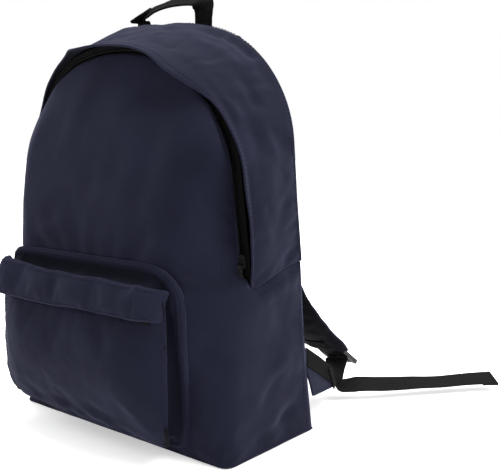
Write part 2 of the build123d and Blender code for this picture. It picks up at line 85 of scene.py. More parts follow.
def fillet_line(pts, radii, step=1.0):
    """Polyline with rounded inner corners, dense points."""
    out = [np.array(pts[0], float)]
    for i in range(1, len(pts) - 1):
        p0, p1, p2 = (np.array(pts[k], float) for k in (i - 1, i, i + 1))
        r = radii[i - 1]
        a, b = p0 - p1, p2 - p1
        a /= np.linalg.norm(a)
        b /= np.linalg.norm(b)
        half = math.acos(max(-1, min(1, float(a @ b)))) / 2
        t = r / math.tan(half)
        q1, q2 = p1 + a * t, p1 + b * t
        m = (a + b) / np.linalg.norm(a + b)
        c = p1 + m * (r / math.sin(half))
        a1 = math.atan2(*(q1 - c)[::-1])
        a2 = math.atan2(*(q2 - c)[::-1])
        d = (a2 - a1 + math.pi) % (2 * math.pi) - math.pi
        n = max(int(abs(d) * r / step), 4)
        for k in range(n + 1):
            w = a1 + d * k / n
            out.append(c + r * np.array([math.cos(w), math.sin(w)]))
    out.append(np.array(pts[-1], float))
    return np.array(out)


def resample(P, f):
    """Points at arc-length fractions f of polyline P."""
    d = np.r_[0, np.cumsum(np.linalg.norm(np.diff(P, axis=0), axis=1))]
    s = np.asarray(f) * d[-1]
    return np.stack([np.interp(s, d, P[:, k]) for k in range(P.shape[1])], -1)


def arch(kind, t, low):
    if kind == "back":
        w, sh, ap, rs, ra = 148.5, 392 / CB, 434 / CB, 120.0, 220.0
    else:
        w, sh, ap, rs, ra = 147.0, 372 / CZ, 404 / CZ, 125.0, 225.0
    ang = math.atan((ap - sh) / w)
    top = ap - t / math.cos(ang)
    x = w - t
    s = top - x * math.tan(ang)
    return fillet_line([(-x, low), (-x, s), (0, top), (x, s), (x, low)], [rs - t, ra - t, rs - t])


# ------------------------------------------------------------------ mesh helpers
def grid_faces(n, m, close_n=False, close_m=False, off=0):
    f = []
    for i in range(n if close_n else n - 1):
        i2 = (i + 1) % n
        for j in range(m if close_m else m - 1):
            j2 = (j + 1) % m
            f.append((off + i * m + j, off + i * m + j2, off + i2 * m + j2, off + i2 * m + j))
    return f


def make(name, V, F, mats, uv=None, idx=None, smooth=True):
    me = bpy.data.meshes.new(name)
    me.from_pydata([tuple(p) for p in (np.asarray(V, float) * MM)], [], F)
    me.update()
    if uv is not None:
        lay = me.uv_layers.new(name="UVMap")
        uv = np.asarray(uv, float) * MM
        loops = np.zeros(len(me.loops), dtype=np.int32)
        me.loops.foreach_get("vertex_index", loops)
        lay.data.foreach_set("uv", uv[loops].astype(np.float32).ravel())
    ob = bpy.data.objects.new(name, me)
    bpy.context.scene.collection.objects.link(ob)
    for m in mats:
        me.materials.append(m)
    if idx is not None:
        me.polygons.foreach_set("material_index", np.asarray(idx, dtype=np.int32))
    if smooth:
        me.polygons.foreach_set("use_smooth", np.ones(len(me.polygons), dtype=bool))
    me.update()
    return ob


def fix_normals(ob):
    bm = bmesh.new()
    bm.from_mesh(ob.data)
    bmesh.ops.recalc_face_normals(bm, faces=bm.faces)
    bm.to_mesh(ob.data)
    bm.free()
    ob.data.update()


def coords(ob):
    a = np.zeros(len(ob.data.vertices) * 3, dtype=np.float32)
    ob.data.vertices.foreach_get("co", a)
    return a.reshape(-1, 3).astype(float) / MM


def set_coords(ob, V):
    ob.data.vertices.foreach_set("co", (np.asarray(V, float) * MM).astype(np.float32).ravel())
    ob.data.update()


def vert_normals(ob):
    ob.data.update()
    a = np.zeros(len(ob.data.vertices) * 3, dtype=np.float32)
    ob.data.vertices.foreach_get("normal", a)
    return a.reshape(-1, 3).astype(float)


def fbm(V, scale, seed=0.0, octaves=3):
    off = Vector((seed * 7.31, seed * 3.17, seed * 5.77))
    return np.array([noise.fractal(Vector(p) / scale + off, 1.0, 2.0, octaves) for p in V])


def crumple(V, scale, seed=0.0, stretch=(1.0, 1.0, 1.0)):
    """Creased cloth: sharp little valleys between soft facets, about -1 to 1."""
    off = Vector((seed * 5.13, seed * 2.71, seed * 9.37))
    st = np.array(stretch)
    out = np.zeros(len(V))
    for k, (sc_, a) in enumerate(((scale, 0.62), (scale * 0.46, 0.38))):
        o2 = off * (k + 1.0)
        q = V * st / sc_
        n1 = np.array([noise.noise(Vector(p) + o2) for p in q])
        n2 = np.array([noise.noise(Vector(p) * 0.6 + o2 * 1.7) for p in q])
        ridge = 1.0 - np.minimum(np.abs(n1 + 0.35 * n2) * 4.2, 1.0)
        out += a * (n2 * 1.4 - 1.15 * ridge ** 2.2)
    return out


def seg_dist(V, a, b):
    a, b = np.array(a, float), np.array(b, float)
    d = b - a
    t = np.clip(((V - a) @ d) / max(float(d @ d), 1e-9), 0, 1)
    return np.linalg.norm(V - (a + t[:, None] * d), axis=1), t


def folds(V, N, segs, mask=None):
    """Pushes points along their normals: segs are (a, b, height, half width, end taper)."""
    h = np.zeros(len(V))
    for a, b, amp, w, taper in segs:
        d, t = seg_dist(V, a, b)
        g = np.exp(-(d / w) ** 2)
        if taper:
            g *= np.clip(np.minimum(t, 1 - t) / taper, 0, 1) ** 0.7 * 0.85 + 0.15
        h += amp * g
    if mask is not None:
        h *= mask
    return V + N * h[:, None]


def subdivide(ob, level=1):
    mod = ob.modifiers.new("Subsurf", "SUBSURF")
    mod.levels = mod.render_levels = level
    return mod


def solidify(ob, t, offset=-1.0, inner=None, rim=None):
    mod = ob.modifiers.new("Solidify", "SOLIDIFY")
    mod.thickness = t * MM
    mod.offset = offset
    mod.use_even_offset = False
    if inner is not None:
        mod.material_offset = inner
    if rim is not None:
        mod.material_offset_rim = rim
    return mod


def apply_all(ob):
    dg = bpy.context.evaluated_depsgraph_get()
    me = bpy.data.meshes.new_from_object(ob.evaluated_get(dg), preserve_all_data_layers=True, depsgraph=dg)
    ob.modifiers.clear()
    old = ob.data
    ob.data = me
    if old.users == 0:
        bpy.data.meshes.remove(old)
    me.name = ob.name
    return ob


def cloth(ob, pins, frames=18, pressure=2.0, shrink=-0.02, cap=6.0, tension=20.0, bend=1.0, mass=0.25, gravity=0.0):
    """Short cloth simulation with pinned points; keeps the capped movement only."""
    rest = coords(ob)
    vg = ob.vertex_groups.new(name="pin")
    vg.add([int(i) for i in pins], 1.0, "REPLACE")
    mod = ob.modifiers.new("Cloth", "CLOTH")
    s = mod.settings
    s.quality = 5
    s.mass = mass
    s.tension_stiffness = s.compression_stiffness = tension
    s.shear_stiffness = tension * 0.3
    s.bending_stiffness = bend
    s.tension_damping = s.compression_damping = 15.0
    s.air_damping = 4.0
    s.use_pressure = True
    s.uniform_pressure_force = pressure
    s.vertex_group_mass = "pin"
    s.shrink_min = shrink
    s.effector_weights.gravity = gravity
    mod.collision_settings.use_collision = False
    mod.point_cache.frame_start = 1
    mod.point_cache.frame_end = frames
    sc = bpy.context.scene
    for f in range(1, frames + 1):
        sc.frame_set(f)
    dg = bpy.context.evaluated_depsgraph_get()
    ev = ob.evaluated_get(dg)
    a = np.zeros(len(ev.data.vertices) * 3, dtype=np.float32)
    ev.data.vertices.foreach_get("co", a)
    new = a.reshape(-1, 3).astype(float) / MM
    ob.modifiers.remove(mod)
    ob.vertex_groups.remove(vg)
    sc.frame_set(1)
    d = new - rest
    if not np.isfinite(d).all():
        return
    L = np.linalg.norm(d, axis=1)
    k = np.where(L > cap, cap / np.maximum(L, 1e-9), 1.0)
    set_coords(ob, rest + d * k[:, None])


# ------------------------------------------------------------------ materials
def srgb(r, g, b):
    def c(x):
        x /= 255.0
        return x / 12.92 if x <= 0.04045 else ((x + 0.055) / 1.055) ** 2.4
    return (c(r), c(g), c(b), 1.0)


class Nodes:
    def __init__(self, name):
        self.m = bpy.data.materials.new(name)
        self.m.use_nodes = True
        self.t = self.m.node_tree
        self.b = self.t.nodes["Principled BSDF"]

    def n(self, kind, **kw):
        x = self.t.nodes.new(kind)
        for k, v in kw.items():
            if k in x.inputs:
                x.inputs[k].default_value = v
            else:
                setattr(x, k, v)
        return x

    def l(self, a, b):
        self.t.links.new(a, b)


def fabric(name, col, col2, thread=0.9, rough=0.86, sheen=0.25, weave=0.35, grain=0.12, uv=True, wear=None):
    """Woven cloth: two crossed thread waves, slubs, soft colour drift, worn high spots."""
    k = Nodes(name)
    b = k.b
    b.inputs["Roughness"].default_value = rough
    b.inputs["Specular IOR Level"].default_value = 0.06
    b.inputs["Sheen Weight"].default_value = sheen
    b.inputs["Sheen Roughness"].default_value = 0.45
    b.inputs["Sheen Tint"].default_value = (0.50, 0.54, 0.92, 1.0)
    co = k.n("ShaderNodeTexCoord")
    src = co.outputs["UV"] if uv else co.outputs["Object"]
    per = thread * MM
    wa = k.n("ShaderNodeTexWave", wave_type="BANDS", bands_direction="X", wave_profile="SIN")
    wa.inputs["Scale"].default_value = 1.0 / per / 3.1416 / 2 * 0.998
    wa.inputs["Distortion"].default_value = 0.6
    wa.inputs["Detail"].default_value = 1.0
    wa.inputs["Detail Scale"].default_value = 3.0
    wb = k.n("ShaderNodeTexWave", wave_type="BANDS", bands_direction="Y", wave_profile="SIN")
    wb.inputs["Scale"].default_value = 1.0 / per / 3.1416 / 2
    wb.inputs["Distortion"].default_value = 0.6
    wb.inputs["Detail"].default_value = 1.0
    wb.inputs["Detail Scale"].default_value = 3.0
    k.l(src, wa.inputs["Vector"])
    k.l(src, wb.inputs["Vector"])
    mul = k.n("ShaderNodeMath", operation="MULTIPLY")
    k.l(wa.outputs["Fac"], mul.inputs[0])
    k.l(wb.outputs["Fac"], mul.inputs[1])
    slub = k.n("ShaderNodeTexNoise")
    slub.inputs["Scale"].default_value = 900.0
    slub.inputs["Detail"].default_value = 3.0
    k.l(co.outputs["Object"], slub.inputs["Vector"])
    add = k.n("ShaderNodeMath", operation="MULTIPLY_ADD")
    add.inputs[1].default_value = 0.6
    k.l(slub.outputs["Fac"], add.inputs[0])
    k.l(mul.outputs[0], add.inputs[2])
    bump = k.n("ShaderNodeBump")
    bump.inputs["Strength"].default_value = weave
    bump.inputs["Distance"].default_value = 0.00035
    k.l(add.outputs[0], bump.inputs["Height"])
    soft = k.n("ShaderNodeTexNoise")
    soft.inputs["Scale"].default_value = 55.0
    soft.inputs["Detail"].default_value = 4.0
    k.l(co.outputs["Object"], soft.inputs["Vector"])
    bump2 = k.n("ShaderNodeBump")
    bump2.inputs["Strength"].default_value = 0.22
    bump2.inputs["Distance"].default_value = 0.0016
    k.l(soft.outputs["Fac"], bump2.inputs["Height"])
    k.l(bump.outputs["Normal"], bump2.inputs["Normal"])
    k.l(bump2.outputs["Normal"], b.inputs["Normal"])
    drift = k.n("ShaderNodeTexNoise")
    drift.inputs["Scale"].default_value = 14.0
    drift.inputs["Detail"].default_value = 5.0
    k.l(co.outputs["Object"], drift.inputs["Vector"])
    ramp = k.n("ShaderNodeValToRGB")
    ramp.color_ramp.elements[0].position = 0.32
    ramp.color_ramp.elements[1].position = 0.72
    ramp.color_ramp.elements[0].color = col
    ramp.color_ramp.elements[1].color = col2
    k.l(drift.outputs["Fac"], ramp.inputs["Fac"])
    heat = k.n("ShaderNodeMix", data_type="RGBA", blend_type="MULTIPLY")
    heat.inputs[0].default_value = 1.0
    dark = k.n("ShaderNodeMapRange")
    dark.inputs["From Min"].default_value = 0.0
    dark.inputs["From Max"].default_value = 1.2
    dark.inputs["To Min"].default_value = 1.0 - grain * 2.2
    dark.inputs["To Max"].default_value = 1.0 + grain
    k.l(add.outputs[0], dark.inputs["Value"])
    k.l(ramp.outputs["Color"], heat.inputs[6])
    k.l(dark.outputs["Result"], heat.inputs[7])
    last = heat.outputs[2]
    if wear is not None:
        geo = k.n("ShaderNodeNewGeometry")
        wr = k.n("ShaderNodeMapRange")
        wr.inputs["From Min"].default_value = 0.52
        wr.inputs["From Max"].default_value = 0.62
        k.l(geo.outputs["Pointiness"], wr.inputs["Value"])
        wn = k.n("ShaderNodeTexNoise")
        wn.inputs["Scale"].default_value = 120.0
        wn.inputs["Detail"].default_value = 3.0
        k.l(co.outputs["Object"], wn.inputs["Vector"])
        wm = k.n("ShaderNodeMath", operation="MULTIPLY")
        k.l(wr.outputs["Result"], wm.inputs[0])
        k.l(wn.outputs["Fac"], wm.inputs[1])
        mx = k.n("ShaderNodeMix", data_type="RGBA")
        mx.inputs[7].default_value = wear
        k.l(wm.outputs[0], mx.inputs[0])
        k.l(last, mx.inputs[6])
        last = mx.outputs[2]
    k.l(last, b.inputs["Base Color"])
    return k.m


def webbing_mat(name, col, rib=1.5, along="X", rough=0.7, sheen=0.15):
    """Ribbed webbing: ribs across, a herringbone of picks along."""
    k = Nodes(name)
    b = k.b
    b.inputs["Roughness"].default_value = rough
    b.inputs["Specular IOR Level"].default_value = 0.04
    b.inputs["Sheen Weight"].default_value = sheen
    b.inputs["Sheen Roughness"].default_value = 0.4
    co = k.n("ShaderNodeTexCoord")
    w1 = k.n("ShaderNodeTexWave", wave_type="BANDS", bands_direction="Y", wave_profile="SIN")
    w1.inputs["Scale"].default_value = 1.0 / (rib * MM) / 6.2832
    w2 = k.n("ShaderNodeTexWave", wave_type="BANDS", bands_direction="DIAGONAL", wave_profile="SIN")
    w2.inputs["Scale"].default_value = 1.0 / (1.0 * MM) / 6.2832
    w2.inputs["Distortion"].default_value = 0.4
    k.l(co.outputs["UV"], w1.inputs["Vector"])
    k.l(co.outputs["UV"], w2.inputs["Vector"])
    ad = k.n("ShaderNodeMath", operation="MULTIPLY_ADD")
    ad.inputs[1].default_value = 0.45
    k.l(w2.outputs["Fac"], ad.inputs[0])
    k.l(w1.outputs["Fac"], ad.inputs[2])
    bump = k.n("ShaderNodeBump")
    bump.inputs["Strength"].default_value = 0.6
    bump.inputs["Distance"].default_value = 0.0005
    k.l(ad.outputs[0], bump.inputs["Height"])
    k.l(bump.outputs["Normal"], b.inputs["Normal"])
    rg = k.n("ShaderNodeMapRange")
    rg.inputs["From Max"].default_value = 1.45
    rg.inputs["To Min"].default_value = 0.55
    rg.inputs["To Max"].default_value = 1.25
    k.l(ad.outputs[0], rg.inputs["Value"])
    fz = k.n("ShaderNodeTexNoise")
    fz.inputs["Scale"].default_value = 260.0
    fz.inputs["Detail"].default_value = 3.0
    k.l(co.outputs["Object"], fz.inputs["Vector"])
    m2 = k.n("ShaderNodeMath", operation="MULTIPLY_ADD")
    m2.inputs[1].default_value = 0.5
    k.l(fz.outputs["Fac"], m2.inputs[0])
    k.l(rg.outputs["Result"], m2.inputs[2])
    mx = k.n("ShaderNodeMix", data_type="RGBA", blend_type="MULTIPLY")
    mx.inputs[0].default_value = 1.0
    mx.inputs[6].default_value = col
    k.l(m2.outputs[0], mx.inputs[7])
    k.l(mx.outputs[2], b.inputs["Base Color"])
    return k.m


def hard(name, col, rough, metal=0.0, bump=0.08, scale=700.0, wear=None, spec=0.35):
    """Moulded plastic or painted metal: fine texture, uneven gloss, rubbed edges."""
    k = Nodes(name)
    b = k.b
    b.inputs["Metallic"].default_value = metal
    b.inputs["Specular IOR Level"].default_value = spec
    co = k.n("ShaderNodeTexCoord")
    nz = k.n("ShaderNodeTexNoise")
    nz.inputs["Scale"].default_value = scale
    nz.inputs["Detail"].default_value = 4.0
    k.l(co.outputs["Object"], nz.inputs["Vector"])
    bp = k.n("ShaderNodeBump")
    bp.inputs["Strength"].default_value = bump
    bp.inputs["Distance"].default_value = 0.0003
    k.l(nz.outputs["Fac"], bp.inputs["Height"])
    k.l(bp.outputs["Normal"], b.inputs["Normal"])
    n2 = k.n("ShaderNodeTexNoise")
    n2.inputs["Scale"].default_value = 90.0
    k.l(co.outputs["Object"], n2.inputs["Vector"])
    r = k.n("ShaderNodeMapRange")
    r.inputs["To Min"].default_value = rough - 0.08
    r.inputs["To Max"].default_value = rough + 0.12
    k.l(n2.outputs["Fac"], r.inputs["Value"])
    k.l(r.outputs["Result"], b.inputs["Roughness"])
    geo = k.n("ShaderNodeNewGeometry")
    wr = k.n("ShaderNodeMapRange")
    wr.inputs["From Min"].default_value = 0.53
    wr.inputs["From Max"].default_value = 0.66
    wr.inputs["To Max"].default_value = 0.6
    k.l(geo.outputs["Pointiness"], wr.inputs["Value"])
    mx = k.n("ShaderNodeMix", data_type="RGBA")
    mx.inputs[6].default_value = col
    mx.inputs[7].default_value = wear or tuple(min(1, c * 2.2) for c in col[:3]) + (1,)
    k.l(wr.outputs["Result"], mx.inputs[0])
    k.l(mx.outputs[2], b.inputs["Base Color"])
    return k.m


NAVY = fabric("navy_canvas", (0.0052, 0.0055, 0.0125, 1), (0.0080, 0.0084, 0.0180, 1), sheen=0.060, wear=(0.0115, 0.0122, 0.025, 1))
# darker navy for the pocket's side gusset: painted shade standing in for the shadow inside its deep pinched fold
NAVY_PAINTED_FOLD_SHADE = fabric("navy_painted_fold_shade", (0.0030, 0.0032, 0.0072, 1), (0.0046, 0.0048, 0.0102, 1), sheen=0.03)
# near-black navy for inner faces (strap pad undersides, the pocket's inside): painted shade, the same navy cloth made
# darker where it lies in shadow
NAVY_INNER_PAINTED_SHADE = fabric("navy_inner_face_painted_shade", (0.0024, 0.0025, 0.0038, 1), (0.0034, 0.0035, 0.0050, 1), sheen=0.012)
BLACK_IN = fabric("black_coated_lining", (0.0035, 0.0035, 0.004, 1), (0.005, 0.005, 0.0055, 1), sheen=0.02, rough=0.8, weave=0.2)
LINING = fabric("grey_lining", (0.020, 0.021, 0.030, 1), (0.026, 0.027, 0.037, 1), sheen=0.05, weave=0.25)
MESHBACK = fabric("back_mesh", (0.0058, 0.0061, 0.0125, 1), (0.0080, 0.0083, 0.0160, 1), thread=2.2, weave=0.8, sheen=0.04)
FOAM = fabric("foam_grey", (0.22, 0.22, 0.225, 1), (0.27, 0.27, 0.27, 1), thread=1.3, weave=0.4, sheen=0.05, uv=False)
WEB = webbing_mat("black_webbing", (0.0022, 0.0022, 0.0024, 1), rough=0.85, sheen=0.006)
WEB_GREY = webbing_mat("tail_webbing", (0.0060, 0.0056, 0.0057, 1), rough=0.85, sheen=0.012)
TAPE = fabric("zip_tape_weave", (0.0020, 0.0020, 0.0023, 1), (0.0028, 0.0028, 0.0031, 1), thread=0.7, sheen=0.006)
COIL = hard("zip_coil_nylon", (0.0028, 0.0028, 0.0031, 1), 0.55, spec=0.1, wear=(0.0055, 0.0055, 0.006, 1))
ZMETAL = hard("black_painted_zinc", (0.0060, 0.0060, 0.0063, 1), 0.42, metal=0.15, wear=(0.030, 0.029, 0.027, 1), spec=0.2)
PLASTIC = hard("acetal_black", (0.0095, 0.0095, 0.010, 1), 0.5, spec=0.16, wear=(0.020, 0.020, 0.021, 1))
THREAD = hard("navy_thread", (0.0085, 0.009, 0.020, 1), 0.85, bump=0.3, scale=1500.0, wear=(0.012, 0.013, 0.027, 1), spec=0.06)
THREAD_K = hard("black_thread", (0.005, 0.005, 0.006, 1), 0.85, bump=0.3, scale=1500.0, wear=(0.009, 0.009, 0.010, 1), spec=0.06)


# ------------------------------------------------------------------ stitches
def stitches(name, path, normals, mat, body, pitch=4.0, length=2.9, r=0.42, lift=0.25, blend=None, slot="shell_fabric"):
    """A row of sewn threads along a path lying on a surface."""
    path = np.asarray(path, float)
    normals = np.asarray(normals, float)
    d = np.r_[0, np.cumsum(np.linalg.norm(np.diff(path, axis=0), axis=1))]
    n = int(d[-1] / pitch)
    if n < 1:
        return None
    V, F = [], []
    for i in range(n):
        ring0 = len(V)
        s0 = (i + 0.5) * d[-1] / n - length / 2
        for k, (f, rr, up) in enumerate(((0, 0.35, -0.5), (0.18, 0.9, 0.5), (0.5, 1.0, 1.0), (0.82, 0.9, 0.5), (1, 0.35, -0.5))):
            s = s0 + f * length
            p = np.array([np.interp(s, d, path[:, c]) for c in range(3)])
            nn = np.array([np.interp(s, d, normals[:, c]) for c in range(3)])
            nn /= max(np.linalg.norm(nn), 1e-9)
            q = np.array([np.interp(s + 0.3, d, path[:, c]) for c in range(3)]) - np.array([np.interp(s - 0.3, d, path[:, c]) for c in range(3)])
            q /= max(np.linalg.norm(q), 1e-9)
            side = np.cross(q, nn)
            side /= max(np.linalg.norm(side), 1e-9)
            c0 = p + nn * (lift * up)
            for a in range(6):
                w = a * math.pi / 3
                V.append(c0 + (side * math.cos(w) + nn * math.sin(w) * 0.8) * r * rr)
        for k in range(4):
            for a in range(6):
                a2 = (a + 1) % 6
                F.append((ring0 + k * 6 + a, ring0 + k * 6 + a2, ring0 + (k + 1) * 6 + a2, ring0 + (k + 1) * 6 + a))
        F.append(tuple(ring0 + a for a in range(5, -1, -1)))
        F.append(tuple(ring0 + 24 + a for a in range(6)))
    ob = make(name, V, F, [mat])
    if blend:
        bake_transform(ob)
    else:
        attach(ob, body)
    return ob


# ------------------------------------------------------------------ body wrap: lower shell and front panel in one cloth
PATCH_T = 11.5
SEAM = 163.0
E_SUP = 0.84


def seam_rise(V):
    """The side seam climbs towards the back."""
    V = np.array(V, float)
    f = np.clip((V[:, 1] + 34.0) / 84.0, 0, 1)
    f = f * f * (3 - 2 * f)
    z = V[:, 2]
    tent = np.clip(np.minimum((z - 96.0) / 67.0, (250.0 - z) / 87.0), 0, 1)
    side = np.clip((np.abs(V[:, 0]) - 120.0) / 12.0, 0, 1)
    V[:, 2] += 19.0 * f * tent * side
    return V


def circ3(p1, p2, p3):
    ax, ay = p1
    bx, by = p2
    cx, cy = p3
    d = 2 * (ax * (by - cy) + bx * (cy - ay) + cx * (ay - by))
    ux = ((ax * ax + ay * ay) * (by - cy) + (bx * bx + by * by) * (cy - ay) + (cx * cx + cy * cy) * (ay - by)) / d
    uy = ((ax * ax + ay * ay) * (cx - bx) + (bx * bx + by * by) * (ax - cx) + (cx * cx + cy * cy) * (bx - ax)) / d
    return ux, uy, math.hypot(ax - ux, ay - uy)


_cu, _cv, _cr = circ3((-105.0, 185.0), (-91.0, 295.0), (-60.0, 396.0))


def yfront(z):
    """Front wall profile above the seam, at the middle."""
    z = np.asarray(z, float)
    arc = _cu - np.sqrt(np.maximum(_cr ** 2 - (z - _cv) ** 2, 0)) if _cu > -80 else _cu + np.sqrt(np.maximum(_cr ** 2 - (z - _cv) ** 2, 0))
    return np.where(z < 185, -105.0, arc)


def super_corner(phi):
    return 1 - np.cos(phi) ** E_SUP, np.sin(phi) ** E_SUP


NS, NK, NF = 15, 9, 44
phis = np.linspace(0, math.pi / 2, NK + 1)
cin, csn = super_corner(phis)


def section(z):
    """One horizontal section of the lower body, rear left seam round the front to rear right."""
    f = min(max(z / SEAM, 0.0), 1.0)
    W = 152.0 - 5.0 * f - 1.2 * math.sin(f * math.pi)
    yf = -70.0 - 35.0 * f
    rx, ry = 11 + 39 * f, 13 + 65.5 * f
    ys = yf + ry
    side = [(W, y) for y in np.linspace(float(yb(z)), ys, NS + 1)][:-1]
    corner = [(W - rx * cin[k], yf + ry * (1 - csn[k])) for k in range(NK + 1)]
    half = side + corner
    xi = W - rx
    mid = [(x, yf) for x in np.linspace(-xi, xi, NF + 1)[1:-1]]
    left = [(-x, y) for x, y in half]
    right = half[::-1]
    return np.array([(x, y, z) for x, y in left + mid + right])


zl = np.r_[1.2, 3.5, 7.0, 11.0, np.linspace(16, 150, 26), 155.0, 159.5, SEAM]
lower = np.array([section(z) for z in zl])
NC = lower.shape[1]
cf0, cf1 = NS, NC - NS            # columns of the front part
frontx = lower[-1, cf0:cf1, 0]
uu = (frontx - frontx[0]) / (frontx[-1] - frontx[0])

out2 = arch("zip", PATCH_T, SEAM / CZ)
ztip = 255.0 / CZ
top_line = out2[out2[:, 1] >= ztip]
top_line = np.vstack([[out2[0, 0], ztip], top_line, [out2[-1, 0], ztip]])
T = resample(top_line, uu)
Wt = 147.0 - PATCH_T


def side_x(v):
    f = np.clip((v - SEAM / CZ) / 18.0, 0, 1)
    f = f * f * (3 - 2 * f)
    return 147.0 - PATCH_T * f


nv = 40
vv = np.linspace(0, 1, nv + 1)
vv = np.unique(np.r_[vv, 0.985, 0.993, 0.96])
nv = len(vv) - 1
bb = np.stack([frontx, np.full_like(frontx, SEAM / CZ)], -1)
patch = []
for v in vv:
    lv = SEAM / CZ + (ztip - SEAM / CZ) * v
    L = np.array([-side_x(lv), lv])
    R = np.array([side_x(lv), lv])
    row = (1 - v) * bb + v * T + (1 - uu)[:, None] * L + uu[:, None] * R \
        - ((1 - v) * ((1 - uu)[:, None] * bb[0] + uu[:, None] * bb[-1]) + v * ((1 - uu)[:, None] * T[0] + uu[:, None] * T[-1]))
    patch.append(row)
patch = np.array(patch)                     # (nv+1, nf, 2) in the zip plane
lowv = np.linspace(60, SEAM / CZ, 30)
midv = np.linspace(SEAM / CZ, SEAM / CZ + 18, 20)
edge = np.vstack([np.stack([-side_x(lowv), lowv], -1), np.stack([-side_x(midv), midv], -1),
                  out2[(out2[:, 1] > SEAM / CZ + 18)],
                  np.stack([side_x(midv), midv], -1)[::-1], np.stack([side_x(lowv), lowv], -1)[::-1]])
flat = patch.reshape(-1, 2)
q = np.full(len(flat), 1e9)
near_e = np.zeros_like(flat)
for a, b in zip(edge[:-1], edge[1:]):
    d = b - a
    L2 = float(d @ d)
    if L2 < 1e-9:
        continue
    t = np.clip(((flat - a) @ d) / L2, 0, 1)
    foot = a + t[:, None] * d
    dist_ = np.linalg.norm(flat - foot, axis=1)
    near_e[dist_ < q] = foot[dist_ < q]
    q = np.minimum(q, dist_)
zz = flat[:, 1] * CZ
# the cloth rolls out over the zip tape along the right side of the opening
puff_dir = near_e - flat
puff_dir /= np.maximum(np.linalg.norm(puff_dir, axis=1), 1e-6)[:, None]
puff_w = 8.4 * np.clip(q / 3.0, 0, 1) * np.exp(-(np.maximum(q - 5.0, 0) / 9.0) ** 2)
puff_w *= np.clip((flat[:, 0] - 70.0) / 50.0, 0, 1) * np.clip((zz - 260.0) / 34.0, 0, 1)
flat = flat + puff_dir * puff_w[:, None]
RR = 50.0 + 34.0 * np.clip((flat[:, 0] + 30.0) / 60.0, 0, 1) * np.clip((zz - 300.0) / 45.0, 0, 1)
c_in = np.clip(1 - q / RR, 0, 1)
G = np.sin(np.arccos(np.clip(c_in ** (1 / E_SUP), 0, 1))) ** E_SUP
D = yz(zz) - yfront(zz)
D = np.maximum(D, 2.0 + 6.0 * np.clip(q / 30, 0, 1))
P3 = np.stack([flat[:, 0], yz(zz) - D * G, zz], -1)
upper = P3.reshape(patch.shape[0], patch.shape[1], 3)
upper[0] = lower[-1, cf0:cf1]

nl, nf = len(zl), cf1 - cf0
V = [p for row in lower for p in row]
F = grid_faces(nl, NC)
base = len(V)
V += [p for row in upper[1:] for p in row]


def vid(r, c):
    return (nl - 1) * NC + cf0 + c if r == 0 else base + (r - 1) * nf + c


for r in range(nv):
    for c in range(nf - 1):
        F.append((vid(r, c), vid(r, c + 1), vid(r + 1, c + 1), vid(r + 1, c)))
V = np.array(V)
# unrolled width for the weave
arcU = np.zeros((nl, NC))
for r in range(nl):
    dd = np.r_[0, np.cumsum(np.linalg.norm(np.diff(lower[r], axis=0), axis=1))]
    arcU[r] = dd - dd[-1] / 2
uvL = np.stack([arcU.ravel(), lower[:, :, 2].ravel()], -1)
uvU = []
for r in range(1, nv + 1):
    dd = np.r_[0, np.cumsum(np.linalg.norm(np.diff(upper[r], axis=0), axis=1))]
    uvU.append(np.stack([dd - dd[-1] / 2, upper[r, :, 2]], -1))
uv = np.vstack([uvL, np.vstack(uvU)])
body = make("body_fabric", V, F, [NAVY, LINING], uv=uv)
fix_normals(body)
N = vert_normals(body)
if N[(nl - 1) * NC + NC // 2][1] > 0:
    body.data.flip_normals()
    N = vert_normals(body)

pins = set()
for r in range(nl):
    pins |= {r * NC, r * NC + NC - 1}
for c in range(NC):
    pins |= {c, NC + c}
for c in list(range(cf0)) + list(range(cf1, NC)):
    pins.add((nl - 1) * NC + c)
for r in range(nv + 1):
    pins |= {vid(r, 0), vid(r, nf - 1)}
for c in range(nf):
    pins.add(vid(nv, c))
V0 = coords(body)
under = (np.abs(V0[:, 0]) < 118) & (V0[:, 2] > 12) & (V0[:, 2] < 176) & (V0[:, 1] < -60)
pins |= set(np.nonzero(under)[0].tolist())
cloth(body, sorted(pins), frames=16, pressure=1.4, shrink=-0.012, cap=5.0, bend=6.0)

